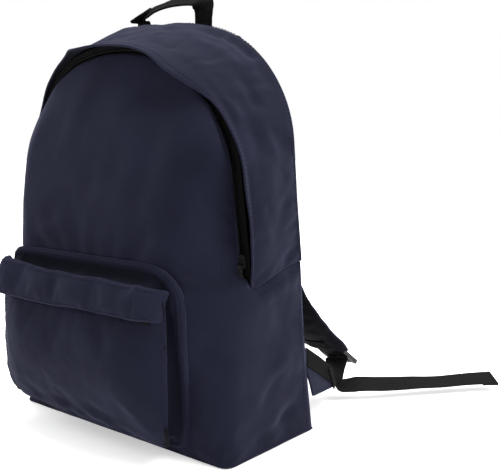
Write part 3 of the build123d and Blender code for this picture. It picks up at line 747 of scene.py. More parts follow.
V1 = seam_rise(coords(body))
set_coords(body, V1)
N = vert_normals(body)
free = np.ones(len(V1))
free[sorted(pins)] = 0.15
segs = [
    # folds that run down the front panel
    ((62, -100, 345), (48, -104, 210), 1.6, 13, 0.3),
    ((84, -92, 330), (70, -104, 215), -1.3, 10, 0.3),
    ((-96, -84, 330), (-108, -96, 200), 2.4, 11, 0.3),
    ((-20, -80, 372), (-44, -96, 290), 1.6, 14, 0.3),
    # drag lines from the pocket's top corners
    ((120, -103, 186), (96, -104, 214), 2.0, 7, 0.3),
    ((128, -95, 178), (122, -96, 228), -1.8, 6, 0.3),
    ((-90, -105, 192), (-40, -104, 208), -2.4, 8, 0.3),
    ((-84, -105, 201), (-30, -104, 220), 1.8, 9, 0.3),
    # pucker where the visor, seam and corner meet
    ((147, -28, 158), (132, -70, 150), -2.6, 6, 0.2),
    ((147, -20, 150), (138, -62, 134), 2.0, 6, 0.2),
    ((-147, -28, 158), (-132, -70, 150), -2.6, 6, 0.2),
    # the overlap at the side seam and the roll of cloth under it
    ((150, -24, 161), (150, 56, 180), -1.6, 3.0, 0.1),
    ((150, -22, 151), (150, 56, 170), 2.6, 5.0, 0.15),
    ((-150, -24, 161), (-150, 56, 180), -1.6, 3.0, 0.1),
    ((-150, -22, 151), (-150, 56, 170), 2.6, 5.0, 0.15),
    ((140, -62, 160), (104, -100, 166), -1.8, 5.0, 0.2),
    # soft dents on the lower sides
    ((150, 20, 120), (150, -20, 60), -2.0, 18, 0.3),
    ((150, 40, 60), (151, -10, 22), 1.6, 12, 0.3),
    ((-150, 30, 110), (-150, -20, 60), -2.0, 18, 0.3),
    ((130, -84, 130), (140, -60, 60), -2.2, 10, 0.3),
    # creases that fan into the lower right corner and along the bottom
    ((150, 44, 34), (150, -30, 12), -3.2, 5, 0.15),
    ((150, 50, 46), (151, -8, 30), 2.4, 7, 0.2),
    ((148, -40, 14), (118, -76, 26), -2.6, 6, 0.2),
    ((150, 30, 92), (150, -34, 52), 1.8, 8, 0.25),
    ((150, 26, 80), (150, -30, 40), -1.8, 6, 0.25),
    ((149, -10, 140), (151, 44, 118), -1.8, 6, 0.25),
    ((128, -88, 150), (146, -48, 132), 2.2, 5, 0.2),
    ((126, -90, 140), (148, -44, 118), -2.4, 5, 0.2),
    ((124, -92, 92), (134, -76, 34), 2.2, 8, 0.25),
    ((-40, -102, 262), (28, -103, 236), 0.9, 10, 0.3),
    ((14, -95, 320), (-2, -104, 232), -0.9, 12, 0.3),
    ((104, -80, 350), (100, -100, 250), 1.0, 8, 0.3),
]
V1 = folds(V1, N, segs, free)
low = fbm(V1, 90.0, 1.0)
fine = fbm(V1, 30.0, 2.0)
crm = crumple(V1, 46.0, 3.0, (1.0, 1.0, 0.55)) * 0.9 + crumple(V1, 20.0, 4.0) * 0.28
wet = 0.45 + 0.55 * np.clip((190.0 - V1[:, 2]) / 40.0, 0, 1) * np.clip((np.abs(V1[:, 0]) - 118.0) / 12.0, 0, 1)
V1 = V1 + N * ((low * 1.5 + fine * 0.28 + crm * wet) * free)[:, None]
V1[:, 2] = np.maximum(V1[:, 2], 0.8)
set_coords(body, V1)
subdivide(body, 1)
solidify(body, 1.6, -1.0, inner=1)
apply_all(body)
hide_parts("lower_shell", "front_panel")
BL = ("bag", "front_opening", (0, -0.100, 0.190), (0, -0.100, 0.244))
BODY_ROWS = (V1, N)


def bodyv(r, c):
    return V1[vid(r, c)]


# top stitch beside the zip on the front panel
for off in (1, 2):
    pth = [V1[vid(r, off)] for r in range(2, nv - off)] + [V1[vid(nv - off, c)] for c in range(off, nf - off)] + [V1[vid(r, nf - 1 - off)] for r in range(nv - off, 1, -1)]
    nrm = [N[vid(r, off)] for r in range(2, nv - off)] + [N[vid(nv - off, c)] for c in range(off, nf - off)] + [N[vid(r, nf - 1 - off)] for r in range(nv - off, 1, -1)]
    if off == 2:
        stitches("panel_edge_stitching", pth, nrm, THREAD, None, blend=BL)
# side seam stitching, lower body side
for sgn, cols in (("left", range(1, cf0)), ("right", range(NC - 2, cf1 - 1, -1))):
    r = nl - 3
    stitches("side_seam_stitching_" + sgn, [V1[r * NC + c] for c in cols], [N[r * NC + c] for c in cols], THREAD, "bag")
for c_, nm in ((1, "left"), (NC - 2, "right")):
    stitches("rear_seam_stitching_" + nm, [V1[r * NC + c_] for r in range(2, nl - 1)], [N[r * NC + c_] for r in range(2, nl - 1)], THREAD, "bag")
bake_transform(body)

# ------------------------------------------------------------------ upper gusset with the rain flap (visor)
NSG = 230
sf = np.linspace(0, 1, NSG)
ba = resample(arch("back", 0.0, SEAM / CB), sf)
za = resample(arch("zip", 0.0, SEAM / CZ), sf)
Pb = back_pt(ba[:, 0], ba[:, 1])
Pz = zip_pt(za[:, 0], za[:, 1])
Pb[:, 2] = np.maximum(Pb[:, 2], SEAM)
Pz[:, 2] = np.maximum(Pz[:, 2], SEAM)
# outward direction in the zip plane
tz = np.gradient(za, axis=0)
tz /= np.linalg.norm(tz, axis=1)[:, None]
on = np.stack([-tz[:, 1], tz[:, 0]], -1)
on3 = np.stack([on[:, 0], -on[:, 1] * SZ, on[:, 1] * CZ], -1)
fw3 = np.array([0.0, -CZ, -SZ])

# reach forward, outward spread of the free edge, outward spread of the zip line
CTRL = [
    (-147, 165, 2, 0, 0), (-147, 250, 3, 0, 0), (-147, 300, 3, -1, 0), (-147, 335, 4, -1, 0), (-138, 352, 4, -2, -1),
    (-118, 367, 4, 0, 0), (-98, 376, 5, 0, 0), (-80, 384, 8, 1, 0), (-64, 390, 9.5, 2, 1), (-50, 394, 17, 4, 2),
    (-36, 398, 23, 2, 1), (0, 405, 20, 0, 0), (40, 398, 19, 0, 0), (70, 388, 21, -3, -1), (85, 382, 23, -6, -2),
    (105, 371, 18, -7.5, -2), (118, 358, 12, -5, -1), (126, 347, 8, 0, 0), (134, 334, 7, 4, 1), (139, 321, 7.5, 5, 2),
    (143, 307, 8, 8, 3), (146, 292, 8.5, 9.5, 5), (147, 265, 9, 11, 6), (147, 240, 8, 12, 7), (147, 223, 7, 11, 7), (147, 190, 4, 7, 4), (147, 165, 2, 0, 0)]
cs, cv = [], []
for x, v, n_, o_, zo_ in CTRL:
    j = int(np.argmin((za[:, 0] - x) ** 2 + (za[:, 1] - v) ** 2))
    cs.append(sf[j])
    cv.append((n_, o_, zo_))
cs = np.array(cs)
order = np.argsort(cs, kind="stable")
cs, cv = cs[order], np.array(cv, float)[order]
cs = cs + np.arange(len(cs)) * 1e-7


def smooth1(a, w):
    kx = np.arange(-3 * w, 3 * w + 1)
    ker = np.exp(-(kx / w) ** 2 / 2.0)
    ker /= ker.sum()
    return np.convolve(np.pad(a, 3 * w, mode="edge"), ker, mode="valid")


reach = smooth1(np.interp(sf, cs, cv[:, 0]), 2)
lift = smooth1(np.interp(sf, cs, cv[:, 1]), 2)
zo = smooth1(np.interp(sf, cs, cv[:, 2]), 3)
zo *= np.clip(np.minimum(sf, 1 - sf) / 0.03, 0, 1)
reach = reach + 0.5 * np.sin(sf * 61.0)
Pzo = Pz + on3 * zo[:, None]
rows = []
tt = np.r_[0, 0.02, 0.05, np.linspace(0.1, 0.92, 13), 0.965, 1.0]
for t in tt:
    crown = math.sin(t * math.pi)
    rows.append(Pb * (1 - t) + Pz * t + on3 * (zo * t ** 1.5)[:, None] + on3 * (1.6 * crown * np.clip(np.minimum(sf, 1 - sf) / 0.06, 0, 1))[:, None])
nrow_g = len(rows)
for k in (0.12, 0.3, 0.5, 0.7, 0.84, 0.93, 1.0):
    rows.append(Pzo + fw3 * (reach * k)[:, None] + on3 * ((lift - zo) * k ** 1.4 + 1.0 * math.sin(k * 3.0) * np.clip(reach / 12, 0, 1))[:, None])
rows = np.array(rows)
NR = len(rows)
Vg = rows.reshape(-1, 3)
acr = np.zeros((NR, NSG))
for j in range(NSG):
    acr[:, j] = np.r_[0, np.cumsum(np.linalg.norm(np.diff(rows[:, j], axis=0), axis=1))]
lenS = np.r_[0, np.cumsum(np.linalg.norm(np.diff(Pz, axis=0), axis=1))]
uvg = np.stack([np.tile(lenS, NR), acr.ravel()], -1)
gus = make("gusset_fabric", Vg, grid_faces(NR, NSG), [NAVY, BLACK_IN], uv=uvg)
Ng = vert_normals(gus)
if Ng[(NR // 3) * NSG + NSG // 2][2] < 0:
    gus.data.flip_normals()
gp = set()
for j in range(NSG):
    gp |= {j, NSG + j, (nrow_g - 1) * NSG + j, nrow_g * NSG + j}
    for r in range(nrow_g + 1, NR):
        gp.add(r * NSG + j)
for r in range(NR):
    gp |= {r * NSG, r * NSG + NSG - 1}
cloth(gus, sorted(gp), frames=16, pressure=1.2, shrink=-0.015, cap=4.0, bend=5.0)
Vg = seam_rise(coords(gus))
# the visor runs on from the gusset without a step
G3 = Vg.reshape(NR, NSG, 3)
for _ in range(9):
    w_step = 0.5 * np.clip((G3[nrow_g - 5:nrow_g + 4, :, 2:3] - 235.0) / 50.0, 0, 1)
    mid_ = (G3[nrow_g - 6:nrow_g + 3] + G3[nrow_g - 4:nrow_g + 5]) / 2
    G3[nrow_g - 5:nrow_g + 4] = G3[nrow_g - 5:nrow_g + 4] * (1 - w_step) + mid_ * w_step
Vg = G3.reshape(-1, 3)
set_coords(gus, Vg)
Ng = vert_normals(gus)
gfree = np.ones(len(Vg))
for i in gp:
    gfree[i] = 0.3
gfree[:2 * NSG] = 0.08
gfree[2 * NSG:3 * NSG] = 0.16
gfree[3 * NSG:4 * NSG] = 0.4
gfree[4 * NSG:5 * NSG] = 0.75
gseg = [
    # the dent beside the handle and the crease that runs from it to the shoulder
    ((62, -2, 420), (88, 6, 408), -6.0, 9, 0.25),
    ((88, 8, 408), (118, 14, 380), -7.0, 7, 0.2),
    ((80, -24, 404), (98, -8, 398), -3.4, 5, 0.2),
    ((98, -20, 394), (120, -16, 372), 3.0, 6, 0.2),
    ((30, -20, 414), (64, -34, 402), -2.4, 5, 0.2),
    ((100, 22, 404), (126, 30, 372), 2.4, 6, 0.2),
    ((126, -20, 372), (140, -14, 330), -2.6, 6, 0.2),
    ((147, 30, 270), (149, -4, 236), 2.0, 6, 0.2),
    ((147, 34, 256), (149, 0, 222), -1.8, 5, 0.2),
    ((118, 14, 380), (134, 18, 352), -2.6, 8, 0.2),
    ((72, 14, 420), (112, 22, 392), 2.8, 8, 0.2),
    ((52, -26, 412), (92, -26, 396), 1.8, 9, 0.2),
    ((92, -26, 396), (104, -44, 374), -2.2, 6, 0.2),
    ((14, 8, 424), (58, -30, 408), 1.8, 8, 0.2),
    ((-6, -22, 414), (44, -40, 404), 2.0, 7, 0.2),
    ((-10, -38, 410), (-54, -50, 404), 1.8, 7, 0.2),
    ((-40, 6, 420), (-58, -40, 404), 2.6, 10, 0.2),
    # shoulder ridge that turns down into the right side
    ((132, -58, 352), (140, -40, 318), 2.6, 7, 0.2),
    ((138, -36, 340), (146, -20, 280), -1.8, 9, 0.2),
    ((147, -18, 300), (150, -6, 230), 1.6, 9, 0.3),
    ((148, 14, 290), (150, 6, 200), -2.0, 13, 0.3),
    ((147, -22, 170), (150, 56, 190), 1.8, 5, 0.15),
    ((-147, -22, 170), (-150, 56, 190), 1.8, 5, 0.15),
    ((-120, 0, 375), (-140, 0, 320), -3.0, 14, 0.2),
    ((-96, 10, 396), (-84, -36, 384), -3.0, 9, 0.2),
    ((-146, 10, 300), (-148, -10, 220), 2.2, 16, 0.2),
    ((-148, 20, 230), (-150, -10, 190), -1.8, 9, 0.2),
    ((60, 20, 424), (20, 24, 430), -1.0, 8, 0.2),
    # fuller crown left of the handle
    ((-84, 6, 408), (-8, 0, 420), 5.0, 26, 0.2),
]
Vg = folds(Vg, Ng, gseg, gfree)
gtop = 0.55 + 0.75 * np.clip((Vg[:, 2] - 330.0) / 50.0, 0, 1)
Vg = Vg + Ng * ((fbm(Vg, 80.0, 5.0) * 1.6 + fbm(Vg, 24.0, 6.0) * 0.55 + (crumple(Vg, 42.0, 7.0) * 1.25 + crumple(Vg, 18.0, 8.0) * 0.4) * gtop) * gfree)[:, None]
set_coords(gus, Vg)
Ng = vert_normals(gus)
GR = Vg.reshape(NR, NSG, 3)
GN = Ng.reshape(NR, NSG, 3)
subdivide(gus, 1)
solidify(gus, 2.0, -1.0, inner=1)
apply_all(gus)
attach(gus, "bag")
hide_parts("upper_gusset", "zip_flap")
stitches("visor_hem_stitching", GR[NR - 4][12:-12], GN[NR - 4][12:-12], THREAD, "bag")
stitches("back_seam_stitching", GR[2], GN[2], THREAD, "bag")


# ------------------------------------------------------------------ main zip: tapes, coil, woven from the arch line
def arch_frame(kind, t, low, n, count=None):
    a = arch(kind, t, low)
    L = float(np.sum(np.linalg.norm(np.diff(a, axis=0), axis=1)))
    m = count or int(L / 4.0) + 1
    p = resample(a, np.linspace(0, 1, m))
    tg = np.gradient(p, axis=0)
    tg /= np.linalg.norm(tg, axis=1)[:, None]
    o = np.stack([-tg[:, 1], tg[:, 0]], -1)
    pt = zip_pt if kind == "zip" else back_pt
    P = pt(p[:, 0], p[:, 1], n)
    if kind == "zip":
        O = np.stack([o[:, 0], -o[:, 1] * SZ, o[:, 1] * CZ], -1)
    else:
        O = np.stack([o[:, 0], -o[:, 1] * SB, o[:, 1] * CB], -1)
    Tg = np.cross(O, fw3)
    return P, O, Tg / np.linalg.norm(Tg, axis=1)[:, None], L


def tape(name, t0, t1, mat, body, cad, low, n=-0.4, thick=0.7, clip=None, spread=None):
    P, O, Tg, L = arch_frame("zip", (t0 + t1) / 2, low, n)
    w = (t1 - t0) / 2
    keep = np.ones(len(P), bool) if clip is None else clip(P)
    P, O = P[keep], O[keep]
    sec = [(-1, 0), (-0.96, 1), (-0.4, 0.8), (0.4, 0.8), (0.96, 1), (1, 0), (0.96, -1), (0.4, -0.8), (-0.4, -0.8), (-0.96, -1)]
    Vt, uvt = [], []
    for i in range(len(P)):
        wob = 0.25 * math.sin(i * 0.9) + 0.15 * math.sin(i * 0.37)
        for a, b in sec:
            Vt.append(P[i] + O[i] * (w * a) + fw3 * (thick / 2 * b + wob * abs(a)))
            uvt.append((i * 4.0, w * a + b))
    ob = make(name, Vt, grid_faces(len(P), len(sec), close_m=True), [mat], uv=uvt)
    fix_normals(ob)
    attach(ob, body)
    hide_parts(*cad)
    return ob


def coil_teeth(name, P, O, Tg, L, side, mat, body, cad, pitch=2.0, clip=None, half=0.0):
    """One row of zip elements: rounded heads that reach across the gap."""
    Vt, Ft = [], []
    n = int(L / pitch)
    d = np.r_[0, np.cumsum(np.linalg.norm(np.diff(P, axis=0), axis=1))]
    s = (np.arange(n) + 0.25 + half) / n * d[-1]
    C = np.stack([np.interp(s, d, P[:, c]) for c in range(3)], -1)
    Oo = np.stack([np.interp(s, d, O[:, c]) for c in range(3)], -1)
    Tt = np.stack([np.interp(s, d, Tg[:, c]) for c in range(3)], -1)
    f0 = np.array(fw3)
    for c, o, t_ in zip(C, Oo, Tt):
        if clip is not None and not clip(c):
            continue
        b0 = len(Vt)
        for k, (along, ww, hh) in enumerate(((-1.35, 0.34, 0.75), (-0.3, 0.42, 1.0), (0.75, 0.5, 1.0), (1.25, 0.38, 0.6))):
            q = c - o * (along * side)
            for a, b in ((-1, -0.6), (-0.6, -1), (0.6, -1), (1, -0.6), (1, 0.6), (0.6, 1), (-0.6, 1), (-1, 0.6)):
                Vt.append(q + t_ * (ww * a) + f0 * (hh * b))
        for k in range(3):
            for a in range(8):
                a2 = (a + 1) % 8
                Ft.append((b0 + k * 8 + a, b0 + k * 8 + a2, b0 + (k + 1) * 8 + a2, b0 + (k + 1) * 8 + a))
        Ft.append(tuple(b0 + a for a in range(7, -1, -1)))
        Ft.append(tuple(b0 + 24 + a for a in range(8)))
    ob = make(name, Vt, Ft, [mat])
    fix_normals(ob)
    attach(ob, body)
    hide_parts(*cad)
    return ob


FOLD_Z = 200.3
tape("zip_tape_outer_cloth", 0.8, 6.6, TAPE, "bag", ["main_zip_tape_outer"], SEAM / CZ + 0.5)
tape("zip_tape_inner_cloth", 11.6, 17.5, TAPE, "front_opening", ["main_zip_tape_inner"], SEAM / CZ + 0.5, clip=lambda P: P[:, 2] > FOLD_Z + 0.2)
for sx, nm in ((-1, "left"), (1, "right")):
    tape("zip_tape_end_" + nm, 11.6, 17.5, TAPE, "bag", ["main_zip_tape_inner_ends"], SEAM / CZ + 0.5,
         clip=lambda P, sx=sx: (P[:, 2] < FOLD_Z) & (P[:, 0] * sx > 0))
Pt, Ot, Tt_, Lt = arch_frame("zip", 7.4, SEAM / CZ + 1.0, 0.0)
coil_teeth("zip_coil_outer", Pt, Ot, Tt_, Lt, 1, COIL, "bag", ["main_zip_teeth_outer"])
Pt, Ot, Tt_, Lt = arch_frame("zip", 10.8, SEAM / CZ + 1.0, 0.0)
coil_teeth("zip_coil_inner", Pt, Ot, Tt_, Lt, -1, COIL, "front_opening", ["main_zip_teeth_inner"], clip=lambda c: c[2] > FOLD_Z + 0.8, half=0.5)
coil_teeth("zip_coil_inner_ends", Pt, Ot, Tt_, Lt, -1, COIL, "bag", ["main_zip_teeth_inner_ends"], clip=lambda c: c[2] < FOLD_Z - 0.8, half=0.5)

# ------------------------------------------------------------------ front pocket
_pu, _pv, _pr = circ3((-96.0, 8.0), (-137.0, 88.0), (-128.0, 140.0))


def y_pock(z):
    z = np.asarray(z, float)
    arc = _pu - np.sqrt(np.maximum(_pr ** 2 - (z - _pv) ** 2, 0))
    return np.where(z > 140, -128.0 + (z - 140.0) * 0.20587, arc)


def y_body(z):
    z = np.asarray(z, float)
    return np.where(z > SEAM, -105.0, -70.0 - 35.0 * np.clip(z, 0, SEAM) / SEAM)


def y_wall(x, z):
    """Front of the body at x, z, with its rounded upright corners."""
    x, z = np.asarray(x, float), np.asarray(z, float)
    f = np.clip(z / SEAM, 0, 1)
    W, yf = 152.0 - 5.0 * f - 1.2 * np.sin(f * math.pi), -70.0 - 35.0 * f
    rx, ry = 11 + 39 * f, 13 + 65.5 * f
    c = np.clip((np.abs(x) - (W - rx)) / rx, 0, 0.995)
    cosp = c ** (1 / E_SUP)
    return yf + ry * (1 - np.sqrt(np.maximum(1 - cosp ** 2, 0)) ** E_SUP)


def y_edge(z):
    return np.interp(z, [10, 20, 40, 90, 150, 172, 190], [-103, -106, -113.5, -116.5, -117, -119.5, -118])


def rounded(x, z, hx, z0, z1, r):
    """Square grid point moved onto a rectangle with round corners."""
    zc, hz = (z0 + z1) / 2, (z1 - z0) / 2
    ax, az = abs(x), abs(z - zc)
    sx, sz = (1 if x >= 0 else -1), (1 if z >= zc else -1)
    rr = r(sx, sz) if callable(r) else r
    if ax > hx - rr and az > hz - rr:
        a, b = (ax - hx + rr) / rr, (az - hz + rr) / rr
        ax = hx - rr + rr * a * math.sqrt(1 - b * b / 2)
        az = hz - rr + rr * b * math.sqrt(1 - a * a / 2)
    return sx * ax, zc + sz * az


def taper(X, Z, k):
    """The pocket is narrower at the bottom, and its low left corner rides higher."""
    f = np.clip((150.0 - Z) / 130.0, 0, 1)
    swell = 2.4 * np.sin(np.clip((Z - 26.0) / 124.0, 0, 1) * math.pi) * (np.abs(X) > 60)
    return X * (1 - k * f) + np.sign(X) * swell * np.clip((np.abs(X) - 60) / 50, 0, 1), Z + 9.0 * np.clip((-X - 30.0) / 90.0, 0, 1) * np.clip((60.0 - Z) / 45.0, 0, 1)


FH, FZ0, FZ1 = 120.5, 20.5, 172.5
gx = np.unique(np.round(np.r_[np.linspace(-107, 107, 61), -FH, FH, -FH + 1.5, FH - 1.5, -FH + 4, FH - 4, -FH + 7, FH - 7, 0], 4))
gz = np.unique(np.round(np.r_[FZ0, FZ0 + 1.5, FZ0 + 4, FZ0 + 7, np.linspace(FZ0 + 10.5, 141.9, 32), np.linspace(141.9, 157.6, 5), 161, 164.5, FZ1 - 4, FZ1 - 1.5, FZ1], 4))
nx, nz = len(gx), len(gz)
front = np.zeros((nz, nx, 3))
for i, z in enumerate(gz):
    for j, x in enumerate(gx):
        X, Z = rounded(x, z, FH, FZ0, FZ1, 17.0)
        front[i, j] = (X, 0, Z)


def edge_dist(x, z, hx, z0, z1, r):
    ax, az = np.abs(x) - (hx - r), np.abs(z - (z0 + z1) / 2) - ((z1 - z0) / 2 - r)
    return r - (np.hypot(np.maximum(ax, 0), np.maximum(az, 0)) + np.minimum(np.maximum(ax, az), 0))


ex, ez = front[..., 0], front[..., 2]
e = np.maximum(edge_dist(ex, ez, FH, FZ0, FZ1, 17.0), 0)
cr = np.sin(np.clip(e / 52.0, 0, 1) * math.pi / 2)
B = np.maximum(y_edge(ez) - y_pock(ez), 1.0)
front[..., 1] = y_edge(ez) - B * cr - 1.2 * np.clip(e / 3.0, 0, 1)
tx, tz2 = taper(front[..., 0], front[..., 2], 0.025)
front[..., 0], front[..., 2] = tx, tz2
# boundary loop of the front, anticlockwise from low left
loop = [(0, j) for j in range(nx)] + [(i, nx - 1) for i in range(1, nz)] + [(nz - 1, j) for j in range(nx - 2, -1, -1)] + [(i, 0) for i in range(nz - 2, 0, -1)]
SH, SZ0, SZ1 = 119.0, 13.0, 186.5


def seam_pt(i, j):
    x = gx[j] / FH * SH
    z = SZ0 + (gz[i] - FZ0) / (FZ1 - FZ0) * (SZ1 - SZ0)
    X, Z = rounded(x, z, SH, SZ0, SZ1, lambda a, b: (30.0 if a > 0 else 22.0) if b > 0 else 16.0)
    X, Z = taper(X, Z, 0.10)
    return np.array([X, float(y_body(Z)), Z])


seam = np.array([seam_pt(i, j) for i, j in loop])
rim = np.array([front[i, j] for i, j in loop])
ctr = np.array([0, 0, 96.0])
outd = seam - ctr
outd[:, 1] = 0
nrm_o = np.gradient(np.vstack([seam[-2:], seam, seam[:2]]), axis=0)[2:-2]
outd = np.stack([nrm_o[:, 2], 0 * nrm_o[:, 0], -nrm_o[:, 0]], -1)
outd /= np.linalg.norm(outd, axis=1)[:, None]
side_w = np.abs(outd[:, 0]) ** 2
rings = []
for f, pin_in in ((0.035, -1.6), (0.09, -4.2), (0.2, -9.0), (0.35, -13.2), (0.5, -15.0), (0.65, -13.4), (0.8, -9.0), (0.9, -4.0)):
    g = 1 - f
    p = seam * g + rim * f if False else rim * (1 - f) + seam * f
    rings.append(p + outd * (pin_in * (0.5 + 0.5 * side_w))[:, None])
fl_ = np.array([0, -1.0, 0])
rings.append(seam + outd * (-1.2) + fl_ * 1.4)
rings.append(seam + outd * 0.4 + fl_ * 3.2)
rings.append(seam + outd * 2.2 + fl_ * 3.4)
rings.append(seam + outd * 4.2 + fl_ * 2.4)
rings.append(seam + outd * 4.8 + fl_ * 0.4)
rings.append(seam + outd * 4.6 - fl_ * 0.8)
# the flange lies on the body's rounded corners
for R_, (o_, b_) in zip(rings[-6:], ((-1.2, 3.0), (0.4, 5.0), (2.4, 5.4), (4.6, 4.4), (5.6, 1.8), (5.2, -1.2))):
    R_[:, 1] = y_wall(R_[:, 0], R_[:, 2]) - b_
Vp = [front[i, j] for i in range(nz) for j in range(nx)]
uvp = [(front[i, j, 0], front[i, j, 2]) for i in range(nz) for j in range(nx)]
Fp = []
slot_faces = []
for i in range(nz - 1):
    for j in range(nx - 1):
        xc, zc = (gx[j] + gx[j + 1]) / 2, (gz[i] + gz[i + 1]) / 2
        if abs(xc) < 107 and 141.9 < zc < 157.6:
            continue
        Fp.append((i * nx + j, i * nx + j + 1, (i + 1) * nx + j + 1, (i + 1) * nx + j))
prev = [i * nx + j for i, j in loop]
nl_ = len(loop)
arcw = np.zeros(nl_)
last = rim
ring_ids = []
for R_ in rings:
    cur = list(range(len(Vp), len(Vp) + nl_))
    arcw = arcw + np.linalg.norm(R_ - last, axis=1)
    last = R_
    Vp += list(R_)
    uvp += [(rim[k, 0] + outd[k, 0] * arcw[k], rim[k, 2] + outd[k, 2] * arcw[k]) for k in range(nl_)]
    for k in range(nl_):
        k2 = (k + 1) % nl_
        Fp.append((prev[k], cur[k], cur[k2], prev[k2]))
    ring_ids.append(cur)
    prev = cur
n_front = sum(1 for f_ in Fp if max(f_) < nx * nz)
# the middle rings of the pocket's side gusset take the darker navy: painted shade for the pinched-in fold, the cloth
# itself is the same navy
fidx = [0] * n_front + [2] * (8 * nl_) + [0] * (len(Fp) - n_front - 8 * nl_)
pock = make("pocket_fabric", Vp, Fp, [NAVY, NAVY_INNER_PAINTED_SHADE, NAVY_PAINTED_FOLD_SHADE, NAVY_INNER_PAINTED_SHADE], uv=uvp, idx=fidx)
Np_ = vert_normals(pock)
if Np_[(nz // 3) * nx + nx // 2][1] > 0:
    pock.data.flip_normals()
pp = set()
for k in range(nl_):
    i, j = loop[k]
    pp.add(i * nx + j)
for R_ in ring_ids[-7:]:
    pp |= set(R_)
for i in range(nz):
    if gz[i] > 141 and gz[i] < 172:
        pp |= {i * nx + j for j in range(nx)}
cloth(pock, sorted(pp), frames=16, pressure=1.2, shrink=-0.004, cap=4.0, bend=8.0)
Vq = coords(pock)
Nq = vert_normals(pock)
pf = np.ones(len(Vq))
for i in pp:
    pf[i] = 0.25
for R_ in ring_ids[-7:]:
    pf[R_] = 0.0
pseg = [
    # crumple along the low front edge
    ((-98, -113, 30), (-40, -115, 32), 2.2, 5.0, 0.25),
    ((-44, -118, 38), (10, -114, 29), 2.6, 5.0, 0.25),
    ((6, -120, 40), (52, -113, 27), 2.6, 4.0, 0.25),
    ((44, -118, 36), (98, -111, 26), 2.0, 4.5, 0.25),
    ((-60, -120, 42), (-10, -121, 44), -1.6, 6, 0.3),
    ((10, -124, 50), (60, -118, 36), -1.8, 6, 0.3),
    # left edge roll
    ((-112, -122, 70), (-108, -118, 38), 2.0, 6, 0.3),
    ((-106, -130, 110), (-104, -128, 66), -1.2, 8, 0.3),
    # soft slack over the middle
    ((-70, -136, 110), (-20, -137, 96), 1.4, 18, 0.4),
    ((20, -136, 118), (80, -134, 100), 1.2, 16, 0.4),
    ((-80, -130, 70), (-40, -130, 60), -1.2, 14, 0.4),
    ((40, -131, 72), (90, -126, 56), -1.2, 14, 0.4),
    # pleats in the side gusset
    ((104, -104, 122), (104, -98, 34), 2.6, 3.0, 0.2),
    ((105, -97, 84), (106, -86, 26), -2.0, 2.6, 0.2),
    ((105, -104, 60), (106, -92, 24), 2.2, 2.6, 0.2),
    ((111, -106, 150), (111, -101, 128), -1.4, 4.0, 0.2),
    ((-110, -100, 118), (-110, -96, 34), 2.2, 3.0, 0.2),
    ((-111, -93, 84), (-112, -84, 26), -1.8, 2.6, 0.2),
    # valley above the roll
    ((-90, -113, 179), (90, -113, 179), -2.2, 5.0, 0.15),
    ((96, -112, 178), (114, -110, 168), 2.4, 4.5, 0.2),
    ((-112, -110, 176), (-96, -112, 182), 2.0, 5.0, 0.2),
]
Vq = folds(Vq, Nq, pseg, pf)
side_z = np.clip((np.abs(Vq[:, 0]) - 104.0) / 6.0, 0, 1) * np.clip((Vq[:, 1] + 122.0) / 8.0, 0, 1)
Vq = Vq + Nq * ((fbm(Vq, 70.0, 9.0) * 1.3 + fbm(Vq, 22.0, 10.0) * 0.5 + crumple(Vq, 38.0, 11.0) * 0.6 + crumple(Vq, 16.0, 14.0) * (0.25 + 1.3 * side_z)) * pf)[:, None]
set_coords(pock, Vq)
Nq = vert_normals(pock)
edge_ids = [i * nx + j for i, j in loop]
inner_loop = [(2, j) for j in range(2, nx - 2)] + [(i, nx - 3) for i in range(3, nz - 2)]
subdivide(pock, 1)
solidify(pock, 1.5, -1.0, inner=1)
apply_all(pock)
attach(pock, "bag")
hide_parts("pocket_front_panel", "pocket_gusset")


def closed(ids):
    ids = list(ids) + [ids[0]]
    return Vq[ids], Nq[ids]


stitches("pocket_seam_stitching_outer", *closed(ring_ids[-3]), THREAD, "bag")
stitches("pocket_seam_stitching_inner", *closed(ring_ids[-6]), THREAD, "bag")
up_ids = [i * nx + 2 for i in range(nz - 12, 1, -1)] + [2 * nx + j for j in range(3, nx - 3)] + [i * nx + nx - 3 for i in range(2, nz - 11)]
stitches("pocket_edge_stitching", Vq[up_ids], Nq[up_ids], THREAD, "bag")
lo_i = int(np.argmin(np.abs(gz - 141.9))) - 1
hi_i = int(np.argmin(np.abs(gz - 157.6))) + 1
js = [j for j in range(nx) if abs(gx[j]) < 108]
for ii, nm in ((lo_i, "low"), (hi_i, "high")):
    ids = [ii * nx + j for j in js]
    stitches("pocket_zip_stitching_" + nm, Vq[ids], Nq[ids], THREAD, "bag")


def pk(u, v, n):
    """Point of the pocket zip plane."""
    return np.array([u, -128.0 + 0.20164 * v - 0.97946 * n, 140.0 + 0.97946 * v + 0.20164 * n])


